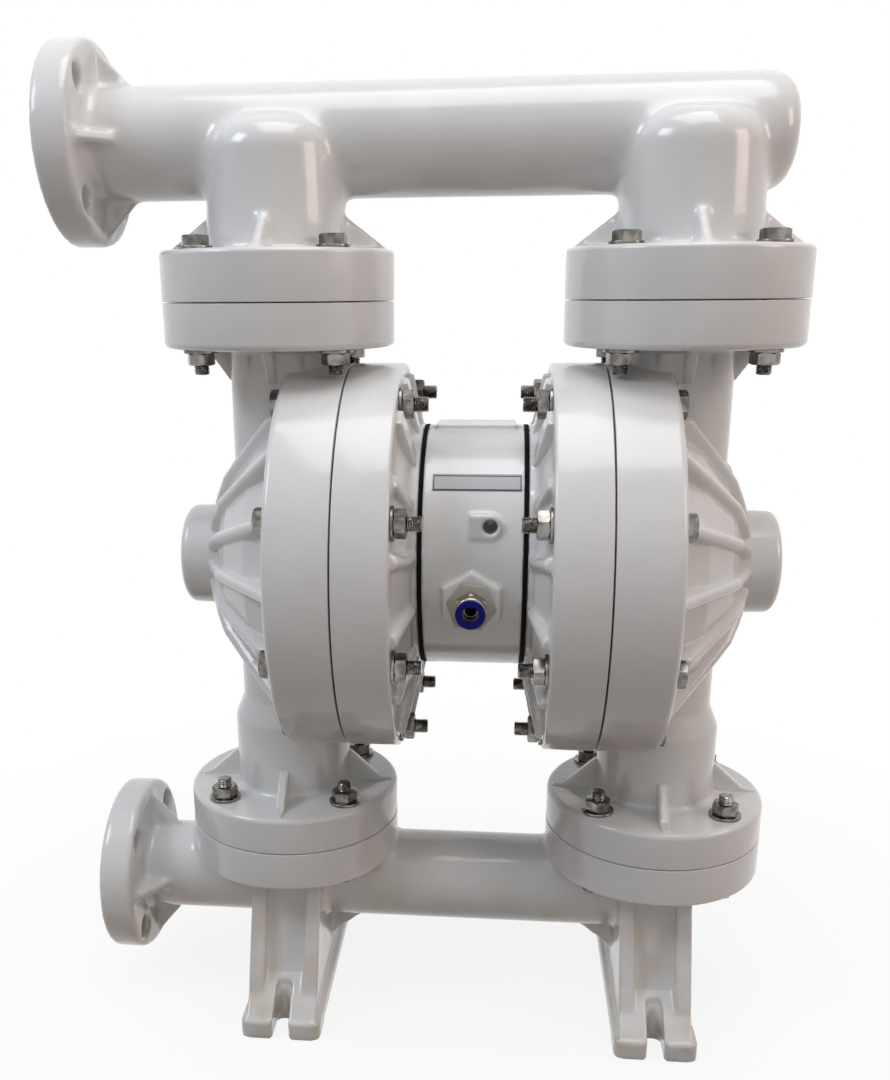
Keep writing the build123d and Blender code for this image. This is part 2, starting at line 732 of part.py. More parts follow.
def inner_plate():
    face = -web_t / 2
    with BuildPart() as plate:
        turn_chamber([
            (face, stud_r + running_gap), (face, plate_r - 2), (face - 2, plate_r),
            (face - plate_rim_t, plate_r), (face - inner_plate_t, plate_r * 0.8),
            (face - inner_plate_t, stud_r + running_gap),
        ])
    return plate


def outer_plate():
    face = web_t / 2
    with BuildPart() as plate:
        turn_chamber([
            (face, stud_r + running_gap), (face, plate_r - 2), (face + 2, plate_r),
            (face + plate_rim_t, plate_r), (face + outer_plate_t, plate_r * 0.75),
            (face + outer_plate_t, plate_cap_r), (face + outer_plate_t + plate_cap_t, plate_cap_r * 0.7),
            (face + outer_plate_t + plate_cap_t, 0), (face + outer_plate_t, 0),
            (face + outer_plate_t, stud_r + running_gap),
        ])
    return plate


def rod():
    stud_end = parting_x + web_t / 2 + outer_plate_t
    with BuildPart() as shaft:
        turn([(-stud_end, shaft_height), (-stud_end, shaft_height + stud_r),
              (-plate_face_x, shaft_height + stud_r), (-plate_face_x, shaft_height + rod_r),
              (plate_face_x, shaft_height + rod_r), (plate_face_x, shaft_height + stud_r),
              (stud_end, shaft_height + stud_r), (stud_end, shaft_height)], rod_axis)
    save(shaft, "diaphragm_rod")


def pilot_rod():
    pilot_axis = Axis((0, 0, pilot_z), (1, 0, 0))
    with BuildPart() as pin:
        turn([(-pilot_half, pilot_z), (-pilot_half, pilot_z + pilot_r - 1),
              (-pilot_half + 1, pilot_z + pilot_r), (pilot_half - 1, pilot_z + pilot_r),
              (pilot_half, pilot_z + pilot_r - 1), (pilot_half, pilot_z)], pilot_axis)
    save(pin, "pilot_rod")


def ring_x(x0, x1, z, inner, outer):
    """A plain ring along X, from x0 to x1 about the height z."""
    with BuildPart() as ring:
        with BuildSketch(Plane.YZ.offset(x0)):
            with Locations((0, z)):
                Circle(outer)
                Circle(inner, mode=Mode.SUBTRACT)
        extrude(amount=x1 - x0)
    return ring


def both_sides(piece, name):
    """One node that holds a right-hand piece and its left-hand twin."""
    with BuildPart() as pair:
        add(piece.part)
        mirror(piece.part, about=Plane.YZ, mode=Mode.ADD)
    save(pair, name)


def bushes():
    both_sides(ring_x(gasket_x - rod_bush_l, gasket_x, shaft_height, rod_r + running_gap, rod_bush_r),
               "rod_bushes")
    both_sides(ring_x(air_cap_x, air_cap_x + seal_t, shaft_height, rod_r + running_gap, seal_r),
               "rod_seals")
    both_sides(ring_x(gasket_x - pilot_bush_l, gasket_x, pilot_z, pilot_r + running_gap, pilot_bush_r),
               "pilot_bushes")


# ------------------------------------------------------------------ centre body


def centre_body():
    front = Plane(origin=(0, 0, 0), x_dir=(1, 0, 0), z_dir=(0, -1, 0))
    back = Plane(origin=(0, valve_pad_y, 0), x_dir=(-1, 0, 0), z_dir=(0, 1, 0))
    with BuildPart() as body:
        with BuildSketch(Plane.YZ.offset(-gasket_x)):
            with Locations((0, drum_z)):
                Circle(drum_r)
        extrude(amount=centre_width)
        # flat pad on top
        with BuildSketch(Plane.XY.offset(drum_z)):
            Rectangle(pad_w, pad_d)
        extrude(amount=drum_r + pad_h)
        # flat pad for the valve block
        with BuildSketch(Plane.XZ.offset(-valve_pad_y)):
            with Locations((0, shaft_height)):
                Rectangle(valve_w, valve_h)
        extrude(amount=valve_pad_y / 2)
        # hexagon boss of the air inlet, point up
        with BuildSketch(front.offset(inlet_boss_face)):
            with Locations((inlet_x, air_in_z)):
                RegularPolygon(inlet_boss_af / 2, 6, major_radius=False, rotation=30)
        extrude(amount=-inlet_boss_face / 3)
        # boss of the small port: square on one side, round on the other
        with BuildSketch(front.offset(pilot_boss_face)):
            with Locations((pilot_port_x, shaft_height + pilot_port_rise)):
                Circle(pilot_boss_w / 2)
            with Locations((pilot_port_x - pilot_boss_w / 3, shaft_height + pilot_port_rise)):
                Rectangle(pilot_boss_w * 2 / 3 + pilot_boss_w * 0.35, pilot_boss_w)
        extrude(amount=-pilot_boss_face / 3)
        # bores for rod and pilot rod with their bushes
        for z, bush_r, bush_l, relief_r in (
            (shaft_height, rod_bush_r, rod_bush_l, rod_relief_r),
            (pilot_z, pilot_bush_r, pilot_bush_l, pilot_relief_r),
        ):
            drill(Plane.YZ.offset(gasket_x), [(0, z)], relief_r, centre_width)
            drill(Plane.YZ.offset(gasket_x), [(0, z)], bush_r, bush_l)
            drill(Plane.YZ.offset(-gasket_x + bush_l), [(0, z)], bush_r, bush_l)
        # air inlet thread, its passage under the rod and on to the valve block
        drill(front.offset(inlet_boss_face), [(inlet_x, air_in_z)], inlet_thread_r, inlet_thread_l)
        turning_y = -inlet_boss_face + inlet_thread_l - passage_air_r
        turning = Plane(origin=(inlet_x, turning_y, air_in_z))
        drill(turning, [(0, 0)], passage_air_r, supply_drop - inlet_drop)
        drill(back, [(0, supply_z)], passage_air_r, valve_pad_y - turning_y)
        drill(front.offset(pilot_boss_face), [(pilot_port_x, shaft_height + pilot_port_rise)],
              pilot_port_r, pilot_port_l)
        # air ports from the valve to both chambers, and the cap screws' threads
        for side in (-1, 1):
            face = Plane(origin=(side * gasket_x, 0, 0), x_dir=(0, 1, 0), z_dir=(side, 0, 0))
            drill(face, [(passage_air_y, side * shaft_height)], passage_air_r, 3 * passage_air_r)
            spots = [(y, side * z) for y, z in cap_screw_spots()]
            drill(face, spots, cap_screw_d / 2 + thread_clear / 2, cap_screw_l - air_floor_t)
            drill(back, [(side * air_port_x, shaft_height)], passage_air_r, valve_pad_y - passage_air_y)
        drill(back, valve_screw_spots(), cap_screw_d / 2 + thread_clear / 2, valve_screw_grip + 1)
    save(body, "centre_body")


def valve_screw_spots():
    return [(a * valve_screw_x, shaft_height + b * valve_screw_z) for a in (-1, 1) for b in (-1, 1)]


def centre_gasket():
    with BuildPart() as gasket:
        with BuildSketch(Plane.YZ.offset(gasket_x)):
            with Locations((0, drum_z)):
                Circle(drum_r)
            with Locations((0, shaft_height)):
                Circle(seal_r, mode=Mode.SUBTRACT)
            with Locations((0, pilot_z)):
                Circle(pilot_bush_r, mode=Mode.SUBTRACT)
            with Locations((passage_air_y, shaft_height)):
                Circle(passage_air_r, mode=Mode.SUBTRACT)
            with Locations(*cap_screw_spots()):
                Circle(cap_screw_d / 2 + thread_clear, mode=Mode.SUBTRACT)
        extrude(amount=centre_gasket_t)
    save(gasket, "centre_gasket_right")
    save_mirrored(gasket, "centre_gasket_left")


def cap_screw(length):
    """Socket head screw: the head stands on z = 0, the shank hangs below."""
    with BuildPart() as screw:
        Cylinder(cap_screw_head_r, cap_screw_head_t, align=(Align.CENTER, Align.CENTER, Align.MIN))
        Cylinder(cap_screw_d / 2, length, align=(Align.CENTER, Align.CENTER, Align.MAX))
        with BuildSketch(Plane.XY.offset(cap_screw_head_t)):
            RegularPolygon(cap_screw_d * 0.35, 6, major_radius=False)
        extrude(amount=-cap_screw_head_t / 2, mode=Mode.SUBTRACT)
    return screw.part


def nameplate():
    with BuildPart() as plate:
        with BuildSketch(Plane.YZ.offset(plate_label_x - plate_label_w / 2)):
            with BuildLine():
                arcs = []
                for radius in (drum_r, drum_r + plate_label_t):
                    arcs.append(CenterArc((0, drum_z), radius, 180 - plate_label_high,
                                          plate_label_high - plate_label_low))
                Line(arcs[0] @ 0, arcs[1] @ 0)
                Line(arcs[0] @ 1, arcs[1] @ 1)
            make_face()
        extrude(amount=plate_label_w)
    save(plate, "nameplate")


# ------------------------------------------------------------------ air valve, muffler and inlet


def valve_openings():
    """Air ports and supply hole on the face between centre body, gasket and block."""
    return [(-air_port_x, shaft_height), (air_port_x, shaft_height), (0, supply_z)]


def valve_gasket():
    with BuildPart() as gasket:
        with BuildSketch(Plane.XZ.offset(-valve_face_y)):
            with Locations((0, shaft_height)):
                Rectangle(valve_w, valve_h)
            with Locations(*valve_openings()):
                Circle(passage_air_r, mode=Mode.SUBTRACT)
            with Locations(*valve_screw_spots()):
                Circle(cap_screw_d / 2 + thread_clear, mode=Mode.SUBTRACT)
        extrude(amount=valve_gasket_t)
    save(gasket, "valve_gasket")


def valve_block():
    face = Plane(origin=(0, valve_face_y, 0), x_dir=(1, 0, 0), z_dir=(0, -1, 0))
    back = Plane(origin=(0, valve_back_y, 0), x_dir=(-1, 0, 0), z_dir=(0, 1, 0))
    end = Plane(origin=(valve_w / 2, spool_y, 0), x_dir=(0, 1, 0), z_dir=(1, 0, 0))
    with BuildPart() as block:
        with BuildSketch(Plane.XZ.offset(-valve_face_y)):
            with Locations((0, shaft_height)):
                Rectangle(valve_w, valve_h)
        extrude(amount=-valve_depth)
        chamfer(block.edges().filter_by(Axis.Y), valve_round)
        chamfer(block.faces().sort_by(Axis.Y)[-1].edges(), valve_round)
        drill(end, [(0, shaft_height)], sleeve_r, valve_w)
        drill(face, valve_openings(), passage_air_r, valve_depth / 3)
        drill(back, [(0, exhaust_z)], exhaust_r, exhaust_depth)
        # supply and exhaust rise to the spool's bore
        for y in (valve_face_y + valve_depth / 3 - sleeve_port_r, valve_back_y - exhaust_depth / 2):
            drill(Plane(origin=(0, y, shaft_height)), [(0, 0)], sleeve_port_r, supply_drop)
        drill(back, valve_screw_spots(), cap_screw_d / 2 + thread_clear, valve_depth)
    save(block, "valve_block")


def valve_spool():
    along = Axis((0, spool_y, shaft_height), (1, 0, 0))
    middle = Plane.XZ.offset(-spool_y)
    z = shaft_height
    end = valve_w / 2 - end_cap_t
    with BuildPart() as sleeve:
        turn([(-end, z + spool_r + running_gap), (-end, z + sleeve_r), (end, z + sleeve_r),
              (end, z + spool_r + running_gap)], along, plane=middle)
        ports = Plane(origin=(0, spool_y, z), x_dir=(1, 0, 0), z_dir=(0, 1, 0))
        drill(ports, [(-air_port_x, 0), (0, 0), (air_port_x, 0)], sleeve_port_r, sleeve_r)
    save(sleeve, "valve_sleeve")
    # the spool rests at the left end of its travel
    start = -end + spool_end_gap
    length = 2 * (end - spool_end_gap) - spool_travel
    pitch = (length - spool_land_l) / 2
    outline = [(start, z)]
    for k in range(3):
        land = start + k * pitch
        outline += [(land, z + spool_r), (land + spool_land_l, z + spool_r)]
        if k < 2:
            outline += [(land + spool_land_l, z + spool_waist_r), (land + pitch, z + spool_waist_r)]
    outline.append((start + length, z))
    with BuildPart() as spool:
        turn(outline, along, plane=middle)
    save(spool, "valve_spool")
    with BuildPart() as plug:
        turn([(end, z), (end, z + sleeve_r), (valve_w / 2, z + sleeve_r), (valve_w / 2, z + end_cap_r),
              (valve_w / 2 + end_cap_t, z + end_cap_r - 2), (valve_w / 2 + end_cap_t, z)],
             along, plane=middle)
    save(plug, "valve_end_cap_right")
    save_mirrored(plug, "valve_end_cap_left")
    screws = [Plane(origin=(x, valve_back_y, z), x_dir=(1, 0, 0), z_dir=(0, 1, 0))
              for x, z in valve_screw_spots()]
    save(place_all(cap_screw(valve_depth + valve_gasket_t + valve_screw_grip), screws), "valve_screws")


def muffler():
    z, start = exhaust_z, valve_back_y
    along = Axis((0, 0, z), (0, 1, 0))
    stem = exhaust_r - thread_clear
    neck, wall = start + muffler_neck_l, 4
    tip = start + muffler_l
    with BuildPart() as can:
        turn([(start - muffler_hold, z), (start - muffler_hold, z + stem), (start, z + stem),
              (start, z + exhaust_r + 5), (neck, z + exhaust_r + 5), (neck + wall, z + muffler_r),
              (tip - 6, z + muffler_r), (tip, z + muffler_r - 6), (tip, z)], along, plane=Plane.YZ)
        turn([(start - muffler_hold - 1, z), (start - muffler_hold - 1, z + stem - wall),
              (neck, z + stem - wall), (neck + wall, z + muffler_r - wall),
              (tip - 2 * wall, z + muffler_r - wall), (tip - 2 * wall, z)],
             along, plane=Plane.YZ, mode=Mode.SUBTRACT)
        # outlet slots round the can
        for k in range(muffler_slot_count):
            side = Plane(origin=(0, start + muffler_l * 0.6, z), x_dir=(0, 1, 0),
                         z_dir=Vector(0, 0, 1).rotate(Axis.Y, 360 / muffler_slot_count * k))
            with BuildSketch(side.offset(muffler_r / 2)):
                Rectangle(muffler_l * 0.4, wall)
            extrude(amount=muffler_r, mode=Mode.SUBTRACT)
    save(can, "exhaust_muffler")


def air_inlet():
    z = air_in_z
    along = Axis((inlet_x, 0, z), (0, 1, 0))
    face = -inlet_boss_face
    front = Plane(origin=(0, 0, 0), x_dir=(1, 0, 0), z_dir=(0, -1, 0))
    with BuildPart() as bushing:
        with BuildSketch(front.offset(inlet_boss_face)):
            with Locations((inlet_x, z)):
                RegularPolygon(bushing_af / 2, 6, major_radius=False, rotation=22)
        extrude(amount=bushing_t)
        turn([(face, z), (face, z + inlet_thread_r - thread_clear / 2),
              (face + inlet_thread_l * 0.7, z + inlet_thread_r - thread_clear / 2),
              (face + inlet_thread_l * 0.7, z)], along, plane=Plane.YZ.offset(inlet_x))
        drill(front.offset(inlet_boss_face + bushing_t), [(inlet_x, z)], bushing_bore_r,
              inlet_thread_l + bushing_t)
    save(bushing, "air_inlet_bushing")
    seat = inlet_boss_face + bushing_t
    hex_end = seat + fitting_hex_t
    body_end = hex_end + fitting_l
    with BuildPart() as fitting:
        with BuildSketch(front.offset(seat)):
            with Locations((inlet_x, z)):
                RegularPolygon(fitting_af / 2, 6, major_radius=False)
        extrude(amount=fitting_hex_t)
        with BuildSketch(front.offset(hex_end)):
            with Locations((inlet_x, z)):
                Circle(fitting_r)
        extrude(amount=fitting_l)
        with BuildSketch(front.offset(seat)):
            with Locations((inlet_x, z)):
                Circle(bushing_bore_r - thread_clear / 2)
        extrude(amount=-inlet_thread_l * 0.6)
        mouth = front.offset(body_end)
        drill(mouth, [(inlet_x, z)], collar_stem_r + running_gap, collar_stem_l + collar_gap)
        drill(mouth, [(inlet_x, z)], tube_r + tube_gap, collar_stem_l + collar_gap + tube_stop_l)
        drill(mouth, [(inlet_x, z)], tube_r - 1.5, body_end - inlet_boss_face + inlet_thread_l)
    save(fitting, "push_in_body")
    rest = body_end + collar_travel + collar_gap
    with BuildPart() as collar:
        with BuildSketch(front.offset(rest)):
            with Locations((inlet_x, z)):
                Circle(collar_r)
        extrude(amount=collar_t)
        with BuildSketch(front.offset(rest)):
            with Locations((inlet_x, z)):
                Circle(collar_stem_r)
        extrude(amount=-collar_stem_l)
        drill(front.offset(rest + collar_t), [(inlet_x, z)], tube_r + tube_gap, collar_t + collar_stem_l)
    save(collar, "release_collar")


# ------------------------------------------------------------------ fastener groups


def chamber_fasteners(side, name):
    spots = ring_spots(chamber_pcd, chamber_bolt_count, chamber_bolt_turn, (0, shaft_height))
    out, inward = (side, 0, 0), (-side, 0, 0)
    heads = [Plane(origin=(side * fluid_rim_x, y, z), x_dir=(0, 0, 1), z_dir=out) for y, z in spots]
    washers = [Plane(origin=(side * air_rim_x, y, z), x_dir=(0, 0, 1), z_dir=inward) for y, z in spots]
    length = chamber_grip + washer_t + nut_t + chamber_thread_end
    save(place_all(hex_bolt(length), heads), f"chamber_bolts_{name}")
    save(place_all(flat_washer(), washers), f"chamber_washers_{name}")
    save(place_all(hex_nut(), [p.offset(washer_t) for p in washers]), f"chamber_nuts_{name}")
    cap_planes = [Plane(origin=(side * (air_cap_x + air_floor_t), y, z), x_dir=(0, 0, 1), z_dir=out)
                  for y, z in cap_screw_spots()]
    save(place_all(cap_screw(cap_screw_l - 1), cap_planes), f"air_cap_screws_{name}")


def joint_fasteners(name, head_z, up, grip, head_washers):
    spots = [s for side in (-1, 1)
             for s in ring_spots(joint_pcd, joint_bolt_count, 45, (side * tower_x, 0))]
    heads = [Plane(origin=(x, y, head_z), x_dir=(1, 0, 0), z_dir=(0, 0, up)) for x, y in spots]
    nuts = [Plane(origin=(x, y, head_z - up * grip), x_dir=(1, 0, 0), z_dir=(0, 0, -up)) for x, y in spots]
    lift = washer_t if head_washers else 0
    length = lift + grip + washer_t + nut_t + joint_thread_end
    save(place_all(hex_bolt(length), [p.offset(lift) for p in heads]), f"{name}_joint_bolts")
    save(place_all(flat_washer(), nuts + heads if head_washers else nuts), f"{name}_joint_washers")
    save(place_all(hex_nut(), [p.offset(washer_t) for p in nuts]), f"{name}_joint_nuts")


# ------------------------------------------------------------------ the assembly

outlet_manifold()
inlet_manifold()

right_fluid_cap = fluid_cap()
save(right_fluid_cap, "fluid_cap_right")
save_mirrored(right_fluid_cap, "fluid_cap_left")
right_air_cap = air_cap()
save(right_air_cap, "air_cap_right")
save_mirrored(right_air_cap, "air_cap_left")

for side, name in ((-1, "left"), (1, "right")):
    ball_valve(side, upper_z, "outlet", name)
    ball_valve(side, lower_z, "inlet", name)
    chamber_fasteners(side, name)

for maker, name in ((diaphragm, "diaphragm"), (inner_plate, "inner_plate"), (outer_plate, "outer_plate")):
    piece = maker()
    save(piece, f"{name}_right")
    save_mirrored(piece, f"{name}_left")

rod()
pilot_rod()
bushes()
centre_body()
centre_gasket()
nameplate()
valve_gasket()
valve_block()
valve_spool()
muffler()
air_inlet()
joint_fasteners("outlet", upper_z + outlet_flange_t, 1, outlet_grip, True)
joint_fasteners("inlet", lower_z - inlet_flange_t, -1, inlet_grip, False)
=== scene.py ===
import json
import math

import bpy
import numpy as np
from mathutils import Matrix


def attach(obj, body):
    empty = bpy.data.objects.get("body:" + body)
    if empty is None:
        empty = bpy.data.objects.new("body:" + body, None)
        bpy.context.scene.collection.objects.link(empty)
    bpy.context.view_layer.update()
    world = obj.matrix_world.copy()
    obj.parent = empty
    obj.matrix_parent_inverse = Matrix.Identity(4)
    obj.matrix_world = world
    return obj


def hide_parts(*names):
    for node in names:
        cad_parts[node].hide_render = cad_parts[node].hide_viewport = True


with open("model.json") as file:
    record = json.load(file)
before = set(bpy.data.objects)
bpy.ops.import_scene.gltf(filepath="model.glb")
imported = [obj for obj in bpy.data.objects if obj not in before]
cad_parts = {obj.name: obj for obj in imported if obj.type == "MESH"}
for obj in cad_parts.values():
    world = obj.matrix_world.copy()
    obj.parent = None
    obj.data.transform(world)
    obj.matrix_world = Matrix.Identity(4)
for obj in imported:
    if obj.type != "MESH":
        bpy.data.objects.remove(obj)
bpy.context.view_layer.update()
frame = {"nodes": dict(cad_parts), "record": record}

# Air operated double diaphragm pump in moulded white polypropylene. Lengths are in millimetres
# until a mesh is made. X runs along the manifolds, Y away from the air inlet, Z up from the floor.

# ------------------------------------------------------------------ layout
SHAFT_Z = 400.0  # axis of the diaphragm rod
PARTING_X = 99.0  # where the air cap and the fluid cap meet
FLUID_RIM_X, AIR_RIM_X = 148.3, 57.3  # outer faces of the two caps' bolted rims
TOWER_X = 157.5  # axes of the towers
UPPER_Z, LOWER_Z = 605.0, 166.0  # planes where the towers meet the manifolds
OUTLET_FLANGE_T, INLET_FLANGE_T = 38.0, 33.0  # the manifolds' side of those joints
OUTLET_Z, OUTLET_Y = 724.0, 20.0  # axis of the upper pipe
RIM_R = 157.0
JOINT_R = 91.0
JOINT_GAP, CHAMBER_GAP = 0.5, 0.8  # how far rims stand back from the plane where they meet
CREASE = 32.0  # degrees between faces past which an edge is drawn sharp
SIDES = {"left": -1, "right": 1}
X, Y, Z = np.eye(3)

# ------------------------------------------------------------------ meshes


def make_piece(name, shells, finish, body="pump", stands_for=()):
    """A mesh from (points, quads and triangles) shells in millimetres, riding on a body."""
    points, polygons, start = [], [], 0
    for verts, quads, tris in shells:
        points.append(verts)
        polygons += (quads + start).tolist() + (tris + start).tolist()
        start += len(verts)
    mesh = bpy.data.meshes.new(name)
    mesh.from_pydata((np.vstack(points) * 0.001).tolist(), [], polygons)
    mesh.validate()
    mesh.shade_smooth()
    mesh.set_sharp_from_angle(angle=math.radians(CREASE))
    piece = bpy.data.objects.new(name, mesh)
    bpy.context.scene.collection.objects.link(piece)
    mesh.materials.append(finish)
    if stands_for:
        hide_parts(*stands_for)
    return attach(piece, body)


def frame_axes(along, across):
    """Unit axes: along, the part of across square to it, and the third that completes them."""
    along = np.asarray(along, float) / np.linalg.norm(along)
    across = across - along * np.dot(across, along)
    across = across / np.linalg.norm(across)
    return along, across, np.cross(along, across)


def round_corners(profile, radii, steps=6):
    """Polyline with corner k replaced by an arc of radius radii[k], tangent to both its sides:
    the arc starts r*tan(t/2) before the corner, where t is the angle the line turns by."""
    profile = np.asarray(profile, float)
    out = []
    for k, radius in enumerate(radii):
        if radius <= 0 or k in (0, len(profile) - 1):
            out.append(profile[k : k + 1])
            continue
        back, ahead = profile[k - 1] - profile[k], profile[k + 1] - profile[k]
        reach = min(np.linalg.norm(back), np.linalg.norm(ahead)) * 0.49
        back, ahead = back / np.linalg.norm(back), ahead / np.linalg.norm(ahead)
        half = math.acos(np.clip(np.dot(back, ahead), -1, 1)) / 2
        trim = min(radius / math.tan(half), reach)
        radius = trim * math.tan(half)
        inwards = (back + ahead) / np.linalg.norm(back + ahead)
        middle = profile[k] + inwards * radius / math.sin(half)
        start, end = profile[k] + back * trim - middle, profile[k] + ahead * trim - middle
        sweep = math.pi - 2 * half
        share = np.linspace(0, 1, steps + 1)[:, None]
        arc = (np.sin((1 - share) * sweep) * start + np.sin(share * sweep) * end) / math.sin(sweep)
        out.append(middle + arc)
    return np.vstack(out)


def lathe(profile, origin, along, across=(0, 0, 1), segments=96, bend=None):
    """Surface of revolution: point(s, a) = origin + along*h(s) + r(s)*(across*cos a + third*sin a),
    where (h, r) is the profile, closed round a and at any end that lies on the axis. A profile
    whose ends are off the axis is joined end to end into a ring. bend(h, r, a) may change r."""
    profile = np.asarray(profile, float)
    angle = np.arange(segments) * (2 * math.pi / segments)
    h, r = profile[:, :1] + 0 * angle, profile[:, 1:] + 0 * angle
    if bend is not None:
        r = bend(h, r, angle[None, :])
    return turned_grid(h, r, origin, along, across)


def turned_grid(h, r, origin, along, across=(0, 0, 1)):
    """Surface with row i, column j at height h[i, j] along the axis and radius r[i, j] from it,
    the columns evenly round it. Rows on the axis become poles; otherwise the ends are joined."""
    along, across, third = frame_axes(along, np.asarray(across, float))
    rows, segments = h.shape
    angle = np.arange(segments) * (2 * math.pi / segments)
    points = (np.asarray(origin, float) + h[..., None] * along
              + (r * np.cos(angle))[..., None] * across + (r * np.sin(angle))[..., None] * third)
    index = np.arange(rows * segments).reshape(rows, segments)
    on_axis = r.max(1) < 1e-6
    index[on_axis] = index[on_axis][:, :1]
    if not on_axis[0] and not on_axis[-1]:
        index = np.vstack([index, index[:1]])
    a, b = index[:-1], index[1:]
    quads = np.stack([a, np.roll(a, -1, 1), np.roll(b, -1, 1), b], -1).reshape(-1, 4)
    pole_a, pole_b = quads[:, 0] == quads[:, 1], quads[:, 2] == quads[:, 3]
    tris = np.vstack([quads[pole_a][:, [0, 2, 3]], quads[pole_b][:, [0, 1, 2]]])
    quads = quads[~(pole_a | pole_b)]
    return tidy_shell(points.reshape(-1, 3), quads, tris)


def tidy_shell(points, quads, tris):
    """The same shell with unused points dropped and faces turned outwards (signed volume > 0)."""
    used, place = np.unique(np.concatenate([quads.ravel(), tris.ravel()]), return_inverse=True)
    quads, tris = place[: quads.size].reshape(-1, 4), place[quads.size :].reshape(-1, 3)
    points = points[used]
    fan = np.vstack([quads[:, [0, 1, 2]], quads[:, [0, 2, 3]], tris])
    a, b, c = points[fan[:, 0]], points[fan[:, 1]], points[fan[:, 2]]
    if np.einsum("ij,ij->", a, np.cross(b, c)) < 0:
        quads, tris = quads[:, ::-1], tris[:, ::-1]
    return points, quads, tris


def web(outline, origin, along, up, thickness):
    """Flat web: a closed outline in the along and up plane, carried along their normal from half
    the thickness before it to half after it. Each face is a fan of triangles round its middle."""
    outline = np.asarray(outline, float)
    along, up, normal = frame_axes(along, np.asarray(up, float))
    flat = np.asarray(origin, float) + outline[:, :1] * along + outline[:, 1:] * up
    near, far = flat - normal * 0.5 * thickness, flat + normal * 0.5 * thickness
    points = np.vstack([near, far, near.mean(0)[None], far.mean(0)[None]])
    count = len(outline)
    first, last = np.arange(count), np.arange(count, 2 * count)
    quads = np.stack([first, np.roll(first, -1), np.roll(last, -1), last], 1)
    tris = np.vstack([
        np.stack([np.full(count, 2 * count), np.roll(first, -1), first], 1),
        np.stack([np.full(count, 2 * count + 1), last, np.roll(last, -1)], 1),
    ])
    return tidy_shell(points, quads, tris)


def hexagon(low, high, flats, bore, origin, along, across, both_ends=True):
    """Hexagonal head or nut. Its sides stand at r = flats/2 / cos(angle from the nearest flat's
    middle), and a 30 degree cone trims the corners of its ends by (r - 0.48*flats)*tan 30."""
    columns = 72  # twelve to a flat, so that the corners fall on columns
    angle = np.arange(columns) * (2 * math.pi / columns)
    side = flats / 2 / np.cos((angle + math.pi / 6) % (math.pi / 3) - math.pi / 6)
    face = np.full_like(side, flats * 0.48)
    trim = (side - face) * math.tan(math.radians(30))
    inner = np.full_like(side, bore)
    flat = np.ones_like(side)
    h = np.stack([low * flat, low * flat, low + trim * both_ends,
                  high - trim, high * flat, high * flat])
    r = np.stack([inner, face, side, side, face, inner])
    return turned_grid(h, r, origin, along, across)


def edge_band(mating, free, radius, rounding, gap=JOINT_GAP):
    """(h, r) outline of a band over a flange's rim: a crisp edge just short of the mating plane,
    a rounded free edge, and ends that dive under the flange's faces."""
    step = math.copysign(1, free - mating)
    near, hidden_r = mating + gap * step, radius - 9.0
    outline = [(near, hidden_r), (near, radius), (free, radius), (free, radius - rounding - 0.5),
               (free - 2.5 * step, hidden_r)]
    return round_corners(outline, [0, 0.5, rounding, 0, 0], 8)


def mirrored(shells, side):
    """Shells as they are for side 1, or reflected in the YZ plane for side -1."""
    if side > 0:
        return shells
    flip = np.array([-1, 1, 1])
    return [(points * flip, quads[:, ::-1], tris[:, ::-1]) for points, quads, tris in shells]


def blend_corners(piece, voxel, passes):
    """One continuous skin round overlapping shells, with its corners relaxed into fillets."""
    skin = piece.modifiers.new("one skin", "REMESH")
    skin.mode = "VOXEL"
    skin.voxel_size = voxel * 0.001
    skin.adaptivity = 0.0
    skin.use_smooth_shade = True
    relax = piece.modifiers.new("fillets", "SMOOTH")
    relax.factor = 0.5
    relax.iterations = passes
    return piece


# ------------------------------------------------------------------ finishes


def linear(hex_colour):
    """sRGB hex to linear RGBA."""
    value = np.array([int(hex_colour[k : k + 2], 16) / 255 for k in (1, 3, 5)])
    low, high = value / 12.92, ((value + 0.055) / 1.055) ** 2.4
    return (*np.where(value <= 0.04045, low, high).tolist(), 1.0)


def add_node(owner, kind, links=(), **settings):
    """Add a node to a material or the world; settings fill its properties or its inputs, and
    links pair an input with a socket."""
    node = owner.node_tree.nodes.new(kind)
    for key, value in settings.items():
        if hasattr(node, key) and key not in node.inputs:
            setattr(node, key, value)
        else:
            node.inputs[key.replace("_", " ")].default_value = value
    for name, socket in links:
        owner.node_tree.links.new(socket, node.inputs[name])
    return node


def new_finish(name, record_slot=None):
    """An empty material, marked with the record's slot that it fills, and its surface shader."""
    material = bpy.data.materials.new(name)
    material.use_nodes = True
    if record_slot:
        material["record_slot"] = record_slot
    return material, material.node_tree.nodes["Principled BSDF"]


def surface_inputs(shader, **values):
    """Set the surface shader's inputs by name, with _ for a space."""
    for key, value in values.items():
        shader.inputs[key.replace("_", " ")].default_value = value


SOILED_TOE = (0.186, -0.106, 0.0)  # metres


